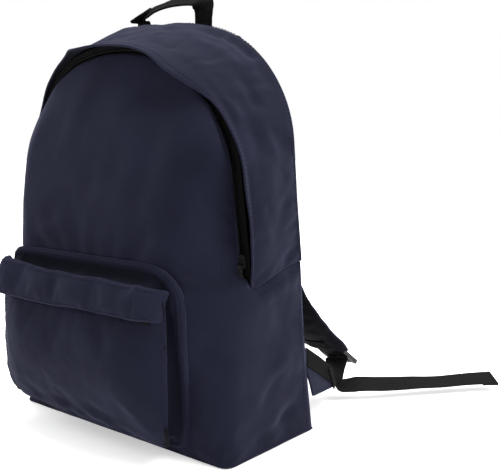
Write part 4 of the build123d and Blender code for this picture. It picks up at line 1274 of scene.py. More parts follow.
us = np.linspace(-108, 108, 60)
for nm, v0, v1, cad in (("lower", 0.6, 7.1, "pocket_zip_tape_lower"), ("upper", 12.9, 19.4, "pocket_zip_tape_upper")):
    Vt, uvt = [], []
    sec = [(-1, 0), (-0.94, 1), (0, 1), (0.94, 1), (1, 0), (0.94, -1), (0, -1), (-0.94, -1)]
    for u in us:
        for a, b in sec:
            Vt.append(pk(u, (v0 + v1) / 2 + (v1 - v0) / 2 * a, -1.5 + 0.35 * b + 0.15 * math.sin(u * 0.21)))
            uvt.append((u, a * 3))
    tp = make("pocket_zip_tape_cloth_" + nm, Vt, grid_faces(len(us), 8, close_m=True), [TAPE], uv=uvt)
    fix_normals(tp)
    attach(tp, "bag")
    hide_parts(cad)
vdir = np.array([0, 0.20164, 0.97946])
ndir = np.array([0, -0.97946, 0.20164])
ul = np.linspace(-104, 104, 80)
for nm, v_, sd, hf, cad in (("lower", 8.1, -1, 0.0, "pocket_zip_teeth_lower"), ("upper", 11.9, 1, 0.5, "pocket_zip_teeth_upper")):
    P_ = np.array([pk(u, v_, -1.2) for u in ul])
    O_ = np.tile(vdir, (len(ul), 1))
    T_ = np.tile(np.array([1.0, 0, 0]), (len(ul), 1))
    coil_teeth("pocket_zip_coil_" + nm, P_, O_, T_, 208.0, sd, COIL, "bag", [cad], half=hf)

# rain flap over the pocket zip: a soft roll whose ends turn back round the corners
fu = np.unique(np.r_[np.linspace(-119, -96, 12), np.linspace(-96, 96, 54), np.linspace(96, 119, 12)])
sec = [(33.2, 0.6), (35.2, 3.6), (34.6, 7.6), (31.5, 10.8), (26.0, 12.6), (19.5, 13.4), (13.0, 13.6), (7.5, 13.2), (3.6, 12.0),
       (1.6, 10.0), (1.0, 8.0), (1.6, 6.2), (4.2, 5.2), (10.0, 5.0), (18.0, 5.0), (26.0, 4.6), (30.5, 3.2), (32.2, 1.4)]
Vf, uvf = [], []
per = np.r_[0, np.cumsum([math.hypot(sec[k + 1][0] - sec[k][0], sec[k + 1][1] - sec[k][1]) for k in range(len(sec) - 1)])]
for u in fu:
    x = abs(u)
    back = 15.0 * max(0.0, (x - 99.0) / 20.0) ** 2.0
    top_up = 7.5 * max(0.0, -(u + 30.0) / 90.0) - 1.0 * max(0.0, u / 119.0)
    low_up = 3.5 * max(0.0, u / 119.0) + 0.6 * math.sin(u * 0.05)
    puff = 1.0 + 0.10 * math.sin(u * 0.043 + 1.0) + 0.06 * math.sin(u * 0.11)
    for k, (v, n) in enumerate(sec):
        f = (v - 1.0) / 34.2
        vv_ = v + top_up * f ** 1.5 + low_up * (1 - f) ** 1.5
        nn = n if k in (0, 17, 16) else (n - 3.0) * puff * (1.0 if k < 11 else 1.0) + 3.0
        p = pk(u * (1.0 - 0.008 * max(0.0, (x - 99) / 20.0)), vv_, nn - back * (1.0 if k > 0 else 0.9))
        Vf.append(p)
        uvf.append((u, per[k]))
Ff = grid_faces(len(fu), len(sec), close_m=True)
ns_ = len(sec)
Ff.append(tuple(range(ns_)))
Ff.append(tuple((len(fu) - 1) * ns_ + k for k in range(ns_ - 1, -1, -1)))
roll = make("pocket_rain_roll", Vf, Ff, [NAVY], uv=uvf)
fix_normals(roll)
rp_ = [i * ns_ + k for i in range(len(fu)) for k in (0, 1, 9, 10, 11, 16, 17)] + [k for k in range(ns_)] + [(len(fu) - 1) * ns_ + k for k in range(ns_)]
cloth(roll, rp_, frames=14, pressure=1.4, shrink=-0.02, cap=2.5, bend=1.0)
Vf = coords(roll)
Nf = vert_normals(roll)
rfree = np.ones(len(Vf))
for i in range(len(fu)):
    for k in (0, 16, 17):
        rfree[i * ns_ + k] = 0
rseg = [
    ((84, -130, 168), (70, -134, 160), -2.6, 5, 0.2),
    ((92, -130, 173), (100, -130, 170), 3.2, 5, 0.2),
    ((104, -128, 172), (84, -137, 156), 1.6, 6, 0.2),
    ((104, -132, 160), (112, -126, 146), -2.0, 5, 0.2),
    ((-100, -128, 175), (-104, -134, 146), -2.4, 4, 0.2),
    ((-92, -134, 168), (-94, -138, 150), 1.4, 6, 0.2),
    ((-60, -134, 172), (-10, -136, 168), 1.2, 7, 0.3),
    ((-30, -138, 152), (40, -139, 150), -1.2, 7, 0.3),
    ((20, -137, 168), (64, -136, 165), 1.1, 6, 0.3),
]
Vf = folds(Vf, Nf, rseg, rfree)
Vf = Vf + Nf * ((fbm(Vf, 50.0, 12.0) * 1.0 + fbm(Vf, 18.0, 13.0) * 0.5 + crumple(Vf, 34.0, 15.0, (0.45, 1.0, 1.0)) * 0.45) * rfree)[:, None]
# the inner wall leaves room for the pull at the far end of its travel
k_ = np.arange(len(Vf)) % ns_
inner_ = (k_ >= 11) & (k_ <= 15)
near_ = np.clip(1 - np.maximum(np.abs(Vf[:, 0] + 101.5) - 10.2, 0) / 2.0, 0, 1) * np.clip(1 - np.maximum(np.abs(Vf[:, 2] - 151.0) - 8.5, 0) / 3.0, 0, 1)
Vf[:, 1] = np.where(inner_, Vf[:, 1] * (1 - near_) + np.minimum(Vf[:, 1], -133.1) * near_, Vf[:, 1])
set_coords(roll, Vf)
Nf = vert_normals(roll)
subdivide(roll, 1)
apply_all(roll)
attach(roll, "pocket_rain_flap")
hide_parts("pocket_flap")
ids = [i * ns_ + 8 for i in range(3, len(fu) - 3)]
stitches("rain_roll_hem_stitching", Vf[ids], Nf[ids], THREAD, "pocket_rain_flap")
ids = [i * ns_ + 3 for i in range(3, len(fu) - 3)]
stitches("rain_roll_top_stitching", Vf[ids], Nf[ids], THREAD, "pocket_rain_flap")

# ------------------------------------------------------------------ back: padded panel, bands, lining, bottom
def arch_patch(kind, t, low_v, tip_v, nu, vs, half_at):
    """Rows of (x, v) that fill an arch outline, from low_v up."""
    a = arch(kind, t, SEAM / (CB if kind == "back" else CZ))
    top = a[a[:, 1] >= tip_v]
    top = np.vstack([[a[0, 0], tip_v], top, [a[-1, 0], tip_v]])
    u = np.linspace(0, 1, nu)
    Tt = resample(top, u)
    bl = np.stack([half_at(low_v) * (2 * u - 1), np.full(nu, low_v)], -1)
    out = []
    for v in vs:
        lv = low_v + (tip_v - low_v) * v
        L = np.array([-half_at(lv), lv])
        R = np.array([half_at(lv), lv])
        out.append((1 - v) * bl + v * Tt + (1 - u)[:, None] * L + u[:, None] * R
                   - ((1 - v) * ((1 - u)[:, None] * bl[0] + u[:, None] * bl[-1]) + v * ((1 - u)[:, None] * Tt[0] + u[:, None] * Tt[-1])))
    return np.array(out), u


def half_back(t):
    def f(v):
        z = v * CB
        g = min(max(z / SEAM, 0.0), 1.0)
        low_w = 152.0 - 5.0 * g - t
        k_ = min(max((z - SEAM + 8) / 20.0, 0.0), 1.0)
        return low_w * (1 - k_) + (148.5 - t) * k_ if z > SEAM - 8 else low_w
    return f


vsb = np.unique(np.r_[0, 0.006, 0.015, 0.03, np.linspace(0.05, 0.95, 64), 0.97, 0.985, 0.994, 1.0])
nub = 81
rowsb, ub = arch_patch("back", 1.0, 3.2 / CB, 265.0 / CB, nub, vsb, half_back(1.0))
edge_b = np.vstack([rowsb[:, 0], rowsb[-1], rowsb[::-1, -1], rowsb[0, ::-1]])
fl2 = rowsb.reshape(-1, 2)
qb = np.full(len(fl2), 1e9)
for a, b in zip(edge_b[:-1], edge_b[1:]):
    d = b - a
    L2 = float(d @ d)
    if L2 < 1e-9:
        continue
    t = np.clip(((fl2 - a) @ d) / L2, 0, 1)
    qb = np.minimum(qb, np.linalg.norm(fl2 - (a + t[:, None] * d), axis=1))
xb, vb = fl2[:, 0], fl2[:, 1]
zb_ = vb * CB
pad = 5.5 * (1 - np.exp(-(qb / 9.0) ** 2))
groove = 4.2 * np.exp(-((np.abs(xb) - 17) / 5.0) ** 2) * np.clip((zb_ - 40) / 20, 0, 1) * np.clip((372 - zb_) / 14, 0, 1)
for zq in (96, 160, 224, 288):
    groove += 2.6 * np.exp(-((zb_ - zq - 0.06 * np.abs(xb)) / 4.5) ** 2) * np.clip((np.abs(xb) - 14) / 8, 0, 1)
lowline = 2.6 * np.exp(-((zb_ - 40) / 4.5) ** 2)
pad = np.maximum(pad - groove - lowline, 0.2)
mask = 1 - np.clip((zb_ - 372) / 12, 0, 1) * (zb_ < 416)
mask *= 1 - np.exp(-(np.maximum(np.abs(np.abs(xb) - 62) - 26, 0) / 8.0) ** 2) * np.exp(-((zb_ - 62) / 12.0) ** 2)
pad *= np.clip(mask, 0.06, 1)
Vb = back_pt(xb, vb, -0.2 - pad)
bk = make("back_padded_panel", Vb, grid_faces(len(vsb), nub), [MESHBACK], uv=fl2)
Nb = vert_normals(bk)
if Nb[len(Nb) // 2][1] < 0:
    bk.data.flip_normals()
    Nb = vert_normals(bk)
Vb = Vb + Nb * (fbm(Vb, 60.0, 21.0) * 0.9 * np.clip(qb / 12, 0, 1) * np.clip(mask, 0.1, 1))[:, None]
set_coords(bk, Vb)
Nb = vert_normals(bk)
BR, BN = Vb.reshape(len(vsb), nub, 3), Nb.reshape(len(vsb), nub, 3)
subdivide(bk, 1)
solidify(bk, 1.2, -1.0)
apply_all(bk)
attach(bk, "bag")
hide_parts("back_panel_outer", "back_panel_foam")
perim = [(r, 2) for r in range(3, len(vsb) - 3)] + [(len(vsb) - 4, c) for c in range(3, nub - 3)] + [(r, nub - 3) for r in range(len(vsb) - 4, 2, -1)]
stitches("back_edge_stitching", [BR[r, c] for r, c in perim], [BN[r, c] for r, c in perim], THREAD, "bag", slot="back_fabric")


def surf_line(pts, R_, N_):
    """Snaps a line of (x, z) points to the nearest points of a surface grid, smoothly."""
    flat_, nflat = R_.reshape(-1, 3), N_.reshape(-1, 3)
    P_, Q_ = [], []
    for x, z in pts:
        d2 = (flat_[:, 0] - x) ** 2 + (flat_[:, 2] - z) ** 2
        near = np.argsort(d2)[:4]
        w_ = 1 / (d2[near] + 0.5)
        w_ /= w_.sum()
        y = float((flat_[near, 1] * w_).sum())
        nn = (nflat[near] * w_[:, None]).sum(0)
        P_.append((x, y, z))
        Q_.append(nn / max(np.linalg.norm(nn), 1e-9))
    return np.array(P_), np.array(Q_)


for sx, nm in ((1, "right"), (-1, "left")):
    pts = [(17.0 * sx, z) for z in np.arange(50, 366, 3.0)]
    P_, Q_ = surf_line(pts, BR, BN)
    stitches("back_channel_stitching_" + nm, P_, Q_, THREAD, "bag", slot="back_fabric")
    for zq in (96, 160, 224, 288):
        P_, Q_ = surf_line([(x * sx, zq + 0.06 * x) for x in np.arange(22, 138, 3.0)], BR, BN)
        stitches("back_quilt_stitching_%s_%d" % (nm, zq), P_, Q_, THREAD, "bag", slot="back_fabric")


def plate(name, fn, us_, vs_, thick, mats, body, cad=(), puff=0.8, seed=3.0, blend=None, uvs=True):
    """Soft strip: grid of fn(u, v) -> point, with rounded edges and a little slack."""
    P_ = np.array([[fn(u, v) for v in vs_] for u in us_], float)
    n1, n2 = len(us_), len(vs_)
    flat_ = P_.reshape(-1, 3)
    du = np.array([np.linalg.norm(np.diff(P_, axis=0), axis=2).mean(), 0])
    uu_ = np.zeros((n1, n2))
    vv2 = np.zeros((n1, n2))
    uu_[1:] = np.cumsum(np.linalg.norm(np.diff(P_, axis=0), axis=2), axis=0)
    vv2[:, 1:] = np.cumsum(np.linalg.norm(np.diff(P_, axis=1), axis=2), axis=1)
    ob = make(name, flat_, grid_faces(n1, n2), mats, uv=np.stack([uu_.ravel(), vv2.ravel()], -1))
    Nn = vert_normals(ob)
    ub_ = np.minimum(np.linspace(0, 1, n1), np.linspace(1, 0, n1))[:, None]
    vb_ = np.minimum(np.linspace(0, 1, n2), np.linspace(1, 0, n2))[None, :]
    m = np.clip(np.minimum(ub_ * 6, vb_ * 6), 0, 1).ravel()
    flat_ = flat_ + Nn * ((puff * m + fbm(flat_, 16.0, seed) * 0.25))[:, None]
    set_coords(ob, flat_)
    Nn = vert_normals(ob)
    subdivide(ob, 1)
    solidify(ob, thick, 0.0, inner=len(mats) - 1 if len(mats) > 1 else None)
    apply_all(ob)
    if blend:
        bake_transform(ob)
    else:
        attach(ob, body)
    if cad:
        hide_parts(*cad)
    return ob, flat_.reshape(n1, n2, 3), Nn.reshape(n1, n2, 3)


# band that the shoulder straps are sewn under
ab, ABR, ABN = plate("anchor_band_cloth", lambda u, v: back_pt(np.array(float((104 - 16 * v) * (2 * u - 1))), np.array(float(386 / CB + (407 - 386) / CB * v)), -1.0),
                     np.linspace(1, 0, 60), np.linspace(0, 1, 9), 1.4, [NAVY], "bag", ["strap_anchor_band"], puff=0.7)
if ABN[30, 4][1] < 0:
    ABN = -ABN
for k_ in (1, 7):
    stitches("anchor_band_stitching_%d" % k_, ABR[2:-2, k_] + np.array([0, 0.7, 0]), ABN[2:-2, k_], THREAD, "bag")

# lining and seam binding inside
rowsl, ul_ = arch_patch("back", 7.6, 4.5 / CB, 265.0 / CB, 41, np.linspace(0, 1, 44), half_back(7.6))
fl3 = rowsl.reshape(-1, 2)
Vl = back_pt(fl3[:, 0], fl3[:, 1], 9.0)
Vl[:, 1] += fbm(Vl, 45.0, 31.0) * 0.5
ln = make("back_lining_cloth", Vl, grid_faces(44, 41), [LINING], uv=fl3)
solidify(ln, 0.8, 0.0)
apply_all(ln)
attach(ln, "bag")
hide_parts("back_panel_lining")
Pk, Ok, Tk, Lk = arch_frame("back", 12.2, SEAM / CB + 2, 10.0)
sec = [(-1, 0), (-0.9, 0.9), (0, 0.7), (0.9, 0.9), (1, 0), (0.9, -0.9), (0, -0.7), (-0.9, -0.9)]
Vt, uvt = [], []
for i in range(len(Pk)):
    for a, b in sec:
        Vt.append(Pk[i] + Ok[i] * 4.6 * a + np.array([0, -1.0, 0]) * (0.5 * b + 0.12 * math.sin(i * 0.8)))
        uvt.append((i * 4.0, a * 5))
bd = make("seam_binding_cloth", Vt, grid_faces(len(Pk), 8, close_m=True), [TAPE], uv=uvt)
fix_normals(bd)
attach(bd, "bag")
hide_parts("back_seam_binding")

# bottom panel with a corded seam round it
s0 = section(1.0)
front_loop = s0[:, :2]
rear = np.stack([np.linspace(front_loop[-1, 0], front_loop[0, 0], 40)[1:-1], np.full(38, front_loop[0, 1])], -1)
loop0 = np.vstack([front_loop, rear])
cen = np.array([0.0, 2.0])
ringsb = [1.0, 0.99, 0.97, 0.93, 0.85, 0.72, 0.55, 0.36, 0.18]
Vbt, Fbt = [], []
nb = len(loop0)
for k_, f in enumerate(ringsb):
    p = cen + (loop0 - cen) * f
    z = np.full(nb, 0.35 if k_ > 0 else 0.8)
    Vbt += [(x, y, zz_) for (x, y), zz_ in zip(p, z)]
Vbt.append((cen[0], cen[1], 0.35))
Fbt = []
for k_ in range(len(ringsb) - 1):
    for c in range(nb):
        c2 = (c + 1) % nb
        Fbt.append((k_ * nb + c, k_ * nb + c2, (k_ + 1) * nb + c2, (k_ + 1) * nb + c))
for c in range(nb):
    Fbt.append(((len(ringsb) - 1) * nb + c, (len(ringsb) - 1) * nb + (c + 1) % nb, len(Vbt) - 1))
Vbt = np.array(Vbt)
Vbt[:, 2] += np.clip(fbm(Vbt, 50.0, 41.0) * 0.5 + 0.2, 0, 1.2)
bt = make("bottom_cloth", Vbt, Fbt, [NAVY, LINING], uv=Vbt[:, :2])
fix_normals(bt)
if vert_normals(bt)[-1][2] > 0:
    bt.data.flip_normals()
solidify(bt, 2.2, -1.0, inner=1)
apply_all(bt)
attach(bt, "bag")
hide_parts("bottom_panel")
cordp = []
for c in range(nb):
    a, b = loop0[c - 1], loop0[(c + 1) % nb]
    tg = (b - a) / max(np.linalg.norm(b - a), 1e-9)
    o2 = np.array([-tg[1], tg[0]])
    if o2 @ (loop0[c] - cen) < 0:
        o2 = -o2
    ctr2 = loop0[c] - o2 * 0.6
    for k_ in range(8):
        w_ = k_ * math.pi / 4
        rr = 1.35 + 0.12 * math.sin(c * 0.7)
        cordp.append((ctr2[0] + o2[0] * rr * math.cos(w_), ctr2[1] + o2[1] * rr * math.cos(w_), 2.2 + rr * math.sin(w_)))
pc = make("bottom_corded_seam", cordp, grid_faces(nb, 8, True, True), [NAVY], uv=np.array(cordp)[:, [0, 2]])
fix_normals(pc)
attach(pc, "bag")


# turned-in seam allowance that backs the side seams inside the bag
for sx, side in ((1, "right"), (-1, "left")):
    def allow(u, v, sx=sx):
        y = -23.0 + (float(yb(SEAM)) - 4.0 + 23.0) * u
        f = min(max((y + 34.0) / 84.0, 0.0), 1.0)
        f = f * f * (3 - 2 * f)
        return np.array([sx * 143.7, y, SEAM + 19.0 * f - 7.0 + 14.0 * v])
    plate("side_seam_allowance_" + side, allow, np.linspace(0, 1, 24), np.linspace(0, 1, 7), 1.1, [LINING], "bag", puff=0.1, seed=33.0 + sx)
# ------------------------------------------------------------------ ribbons of webbing
def catmull(P, n):
    P = np.asarray(P, float)
    Q = np.vstack([2 * P[0] - P[1], P, 2 * P[-1] - P[-2]])
    out = []
    seg = len(P) - 1
    per_ = max(2, n // seg)
    for i in range(seg):
        p0, p1, p2, p3 = Q[i:i + 4]
        for k_ in range(per_):
            t = k_ / per_
            out.append(0.5 * (2 * p1 + (p2 - p0) * t + (2 * p0 - 5 * p1 + 4 * p2 - p3) * t * t + (3 * p1 - p0 - 3 * p2 + p3) * t ** 3))
    out.append(P[-1])
    return np.array(out)


def ribbon(name, pts, wv, width, thick, mat, body=None, cad=(), n=60, blend=None, mirror=1, straight=False, wob=0.15, caps=True):
    """Woven band along pts; wv gives the direction across it at each point."""
    P = np.asarray(pts, float) if straight else catmull(pts, n)
    W = np.asarray(wv, float)
    W = np.stack([np.interp(np.linspace(0, len(W) - 1, len(P)), np.arange(len(W)), W[:, k_]) for k_ in range(3)], -1)
    Tg = np.gradient(P, axis=0)
    Tg /= np.linalg.norm(Tg, axis=1)[:, None]
    W = W - Tg * (W * Tg).sum(1)[:, None]
    W /= np.linalg.norm(W, axis=1)[:, None]
    H = np.cross(Tg, W)
    d = np.r_[0, np.cumsum(np.linalg.norm(np.diff(P, axis=0), axis=1))]
    hw_, ht = width / 2, thick / 2
    sec_ = [(-1, 0), (-0.985, 0.55), (-0.93, 1.0)] + [(x, 1.0 + (0.16 if k_ % 2 else -0.08)) for k_, x in enumerate(np.linspace(-0.8, 0.8, 11))] + [(0.93, 1.0), (0.985, 0.55)]
    sec_ = sec_ + [(1, 0)] + [(-a, -b) for a, b in sec_[1:]]
    Vr, uvr = [], []
    for i in range(len(P)):
        wv_ = wob * math.sin(d[i] * 0.11 + 1.3)
        for a, b in sec_:
            Vr.append(P[i] + W[i] * (hw_ * a) + H[i] * (ht * b + wv_))
            uvr.append((d[i], hw_ * a + (0 if b >= 0 else 40)))
    m = len(sec_)
    Fr = grid_faces(len(P), m, close_m=True)
    if caps:
        Fr.append(tuple(range(m)))
        Fr.append(tuple((len(P) - 1) * m + k_ for k_ in range(m - 1, -1, -1)))
    Vr = np.array(Vr)
    if mirror < 0:
        Vr[:, 0] *= -1
    ob = make(name, Vr, Fr, [mat], uv=uvr)
    fix_normals(ob)
    if blend:
        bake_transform(ob)
    else:
        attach(ob, body)
    if cad:
        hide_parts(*cad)
    if mirror < 0:
        M = np.array([-1, 1, 1.0])
        return ob, P * M, W * M, H * M, d
    return ob, P, W, H, d


# ------------------------------------------------------------------ shoulder straps
A_ = np.array([66.0, 27.0, 398.0])
T_ = np.array([146.0, 68.0, 62.0])
ad = (T_ - A_) / np.linalg.norm(T_ - A_)
od = np.array([-0.248, 0.967, 0.059])
od = od - ad * (od @ ad)
od /= np.linalg.norm(od)
nd = np.cross(ad, od)
nd /= np.linalg.norm(nd)
pa_ = np.array([100.0, 68.0, 62.0]) - A_
pa_ /= np.linalg.norm(pa_)
po_ = np.array([106.0, 172.0, 62.0]) - A_
po_ = po_ - pa_ * (po_ @ pa_)
po_ /= np.linalg.norm(po_)
pn_ = np.cross(pa_, po_)
pn_ /= np.linalg.norm(pn_)
CURVE = [(6, 8), (34, 13.5), (68, 15.5), (100, 16.5), (132, 17.5), (163, 18.5), (190, 19.5), (213, 21), (238, 25), (263, 33), (287, 46), (310, 62), (332, 81), (353, 103)]


def SRp(s, r, w=0.0):
    return A_ + pa_ * s + po_ * r + pn_ * w


ts_, tr_ = 21.0, 22.0
LL = math.hypot(ts_, tr_)
td = (pa_ * ts_ + po_ * tr_) / LL
md = (pa_ * -tr_ + po_ * ts_) / LL
E_ = SRp(353, 103)
LT = 13.0


def ep(w, t, m):
    return E_ + pn_ * w + td * t + md * m


TIPv = np.array([130.0, 131.0, 40.0])
rootm = T_ + od * 4.2
tipd = TIPv - rootm
tipd = tipd - nd * (tipd @ nd)
TIPP = rootm + tipd
LKp = E_ + td * (LT + 12)
ud = (LKp - TIPP) / np.linalg.norm(LKp - TIPP)
FOLDp = np.array([114.0, 171.0, 16.0])
gd = (LKp - FOLDp) / np.linalg.norm(LKp - FOLDp)
gw_ = pn_ - gd * (pn_ @ gd)
gw_ /= np.linalg.norm(gw_)
TEND = np.array([242.0, 336.0, 11.0])
dd_ = (TEND - FOLDp) / np.linalg.norm(TEND - FOLDp)
sd_ = np.array([dd_[1], -dd_[0], 0])
sd_ /= np.linalg.norm(sd_)
upd = np.cross(sd_, dd_)
if upd[2] < 0:
    upd = -upd
twd = sd_ * math.cos(math.radians(20)) - upd * math.sin(math.radians(20))


def mir(p, sx):
    p = np.array(p, float)
    p[..., 0] *= sx
    return p


def tup(p):
    return tuple(float(c) * MM for c in p)


for sx, side in ((1, "right"), (-1, "left")):
    bs, bl_, bt_ = "strap_" + side, "lock_" + side, "tail_" + side
    # pad
    C2 = catmull([(s, r, 0.0) for s, r in CURVE] + [(358.0, 108.2, 0.0)], 130)[:, :2]
    tg = np.gradient(C2, axis=0)
    tg /= np.linalg.norm(tg, axis=1)[:, None]
    dl = np.r_[0, np.cumsum(np.linalg.norm(np.diff(C2, axis=0), axis=1))]
    ws = np.r_[-1, -0.985, -0.95, -0.9, np.linspace(-0.82, 0.82, 17), 0.9, 0.95, 0.985, 1]
    Vs, uvs_, Ns = [], [], []
    nC = len(C2)
    m1 = len(ws)
    for i in range(nC):
        s, r = C2[i]
        nrm2 = np.array([-tg[i, 1], tg[i, 0]])
        root = np.clip((s - 10) / 30.0, 0, 1)
        endf = np.clip((dl[-1] - dl[i]) / 22.0, 0, 1)
        hw_ = 31.0 * (0.84 + 0.16 * root) * (0.80 + 0.20 * endf ** 0.6)
        th = (5.0 + 1.2 * root) * (0.45 + 0.55 * min(1.0, endf * 1.4))
        for a in ws:
            prof = max(0.0, 1 - abs(a) ** 3.2) ** 0.55
            seam_d = 1.5 * math.exp(-((abs(a) - 0.86) / 0.035) ** 2)
            h = th * prof + 0.25 * (1 - abs(a)) - seam_d
            c2 = C2[i] + nrm2 * h
            Vs.append(SRp(c2[0], c2[1], a * hw_))
            uvs_.append((dl[i], a * hw_))
        for a in ws[::-1][1:-1]:
            prof = max(0.0, 1 - abs(a) ** 3.2) ** 0.55
            seam_d = 1.3 * math.exp(-((abs(a) - 0.86) / 0.035) ** 2)
            c2 = C2[i] - nrm2 * (th * 0.95 * prof - seam_d)
            Vs.append(SRp(c2[0], c2[1], a * hw_))
            uvs_.append((dl[i], 90 - a * hw_))
    mm = 2 * m1 - 2
    Fs = grid_faces(nC, mm, close_m=True)
    Fs.append(tuple(range(mm)))
    Fs.append(tuple((nC - 1) * mm + k_ for k_ in range(mm - 1, -1, -1)))
    idx = []
    for i in range(nC - 1):
        idx += [0 if k_ < m1 else 1 for k_ in range(mm)]
    idx += [0, 0]
    Vs = mir(np.array(Vs), sx)
    # the pad's underside takes the near-black navy: painted shade for the face turned away from the light
    padob = make("strap_pad_" + side, Vs, Fs, [NAVY, NAVY_INNER_PAINTED_SHADE], uv=uvs_, idx=idx)
    fix_normals(padob)
    Vs = coords(padob)
    N_ = vert_normals(padob)
    pin = [i * mm + k_ for i in range(nC) for k_ in list(range(0, 5)) + list(range(m1 - 5, m1 + 4)) + list(range(mm - 4, mm))] + list(range(6 * mm)) + list(range((nC - 6) * mm, nC * mm))
    cloth(padob, sorted(set(pin)), frames=12, pressure=1.5, shrink=-0.015, cap=2.0, bend=1.0)
    Vs = coords(padob)
    N_ = vert_normals(padob)
    amp = np.repeat(np.clip(np.minimum(dl / 30, (dl[-1] - dl) / 25), 0.1, 1), mm)
    wr = np.zeros(len(Vs))
    for s0_, ph in ((36, 0.5), (58, -0.4), (150, -0.4), (212, 0.5), (238, -0.6), (262, 0.7), (284, -0.6), (312, 0.5)):
        wr += ph * np.exp(-((np.repeat(C2[:, 0], mm) - s0_ - 6 * np.sin(np.tile(np.arange(mm), nC) * 0.3)) / 4.5) ** 2)
    Vs = Vs + N_ * ((fbm(Vs, 45.0, 50.0 + sx) * 1.0 + wr) * amp)[:, None]
    set_coords(padob, Vs)
    N_ = vert_normals(padob)
    subdivide(padob, 1)
    apply_all(padob)
    bst = tup(mir(SRp(20, 11), sx))
    ben = tup(mir(SRp(58, 15), sx))
    BLS = ("bag", bs, bst, ben)
    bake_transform(padob)
    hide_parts("strap_cover_" + side, "strap_foam_" + side, "strap_lining_" + side, "strap_root_" + side)
    for k_, nm in ((4, "a"), (m1 - 5, "b")):
        ids = [i * mm + k_ for i in range(5, nC - 2)]
        stitches("strap_stitching_%s_%s" % (side, nm), Vs[ids], N_[ids], THREAD, None, blend=BLS)
        ids = [i * mm + (mm - k_) for i in range(5, nC - 2)]
        stitches("strap_under_stitching_%s_%s" % (side, nm), Vs[ids], N_[ids], THREAD_K, None, blend=BLS)
    # webbing loop sewn to the pad end, round the top bar
    path = [ep(0, -26, 6.4), ep(0, -14, 6.0), ep(0, -4, 5.0), ep(0, 6, 3.6)]
    wvs = [pn_] * 4
    for w_ in np.linspace(math.pi / 2, -math.pi / 2, 7):
        path.append(ep(0, LT + 3.35 * math.cos(w_), 3.35 * math.sin(w_)))
        wvs.append(pn_)
    path += [ep(0, 6, -3.6), ep(0, -3, -4.4), ep(0, -16, -5.4), ep(0, -26, -6.2)]
    wvs += [pn_] * 4
    ribbon("strap_end_webbing_" + side, path, wvs, 25.0, 1.5, WEB, bs, ["strap_end_loop_" + side], n=90, mirror=sx, wob=0.0)
    for mside, nm in ((1, "top"), (-1, "under")):
        box = [ep(w_, t_, mside * (7.3 if t_ < -13 else 6.3)) for w_, t_ in ((-10, -24), (10, -24), (10, -6), (-10, -6), (-10, -24), (10, -6), (10, -24), (-10, -6))]
        dense = []
        for p0_, p1_ in zip(box[:-1], box[1:]):
            for f in np.linspace(0, 1, 8)[:-1]:
                dense.append(p0_ * (1 - f) + p1_ * f)
        nn_ = [md * mside] * len(dense)
        stitches("strap_box_stitching_%s_%s" % (side, nm), mir(np.array(dense), sx), mir(np.array(nn_), sx), THREAD_K, bs, pitch=3.2, length=2.4, slot="webbing")
    # lower tab
    c0, c1 = rootm, TIPP

    def tabf(u, v, c0=c0, c1=c1):
        hw2 = 27.0 * (1 - u) + 12.5 * u
        return mir(c0 * (1 - u) + c1 * u + ad * hw2 * (2 * v - 1), sx)
    tb, TBR, TBN = plate("lower_tab_cloth_" + side, tabf, np.linspace(-0.06, 1, 26), np.linspace(0, 1, 18), 2.0, [NAVY], bs, ["lower_tab_" + side], puff=0.5, seed=60.0 + sx)
    if (TBN[12, 8] @ mir(nd, sx)) < 0:
        TBN = -TBN
    for k_, nm in ((1, "a"), (16, "b")):
        stitches("tab_stitching_%s_%s" % (side, nm), TBR[2:-1, k_] + TBN[2:-1, k_] * 0.9, TBN[2:-1, k_], THREAD, bs)
        stitches("tab_back_stitching_%s_%s" % (side, nm), TBR[2:-1, k_] - TBN[2:-1, k_] * 1.1, -TBN[2:-1, k_], THREAD, bs)
    # webbing sewn along the tab's upper edge, then to the lock with a quarter turn
    e0 = rootm - ad * 20.0
    e1 = TIPP - ad * 3.0 - ud * 2.0
    w0v = ad - ud * (ad @ ud)
    w1v = pn_ - ud * (pn_ @ ud)
    if w0v @ w1v < 0:
        w1v = -w1v
    q0 = TIPP + ud * 3.2
    q1 = LKp - ud * 5.0
    P_ = [q0 - ud * 14 + nd * 1.8, q0 - ud * 5 + nd * 1.6, q0 + ud * 4 + nd * 0.6, (q0 + q1) / 2 - md * 1.5, q1 - ud * 6, q1]
    Wv = [w0v, w0v, w0v * 0.9 + w1v * 0.1, (w0v + w1v), w1v, w1v]
    ribbon("lower_webbing_band_" + side, P_, Wv, 25.0, 1.6, WEB, bs, ["lower_webbing_" + side], n=60, mirror=sx)
    bandp = [rootm - ad * 15.5 + nd * 2.1 + tipd * 0.02, rootm * 0.5 + TIPP * 0.5 - ad * 8.0 + nd * 2.2, TIPP - ad * 0.5 + nd * 2.0 - ud * 2.0]
    tdir = (bandp[-1] - bandp[0])
    tdir /= np.linalg.norm(tdir)
    wb = ad - tdir * (ad @ tdir)
    ribbon("tab_edge_webbing_" + side, bandp, [wb] * 3, 20.0, 1.4, WEB, bs, n=30, mirror=sx)
    # webbing round the lock's middle bar
    arc = [ep(0, LT + 12 + 1.5, 3.1)]
    for w_ in np.linspace(math.pi / 2, 3 * math.pi / 2, 9):
        arc.append(ep(0, LT + 12 + 3.0 * math.cos(w_), 3.0 * math.sin(w_)))
    arc.append(ep(0, LT + 12 + 1.5, -3.1))
    ribbon("lock_webbing_" + side, arc, [pn_] * len(arc), 24.6, 1.3, WEB, bl_, ["webbing_bite_" + side], n=60, mirror=sx, wob=0.0)
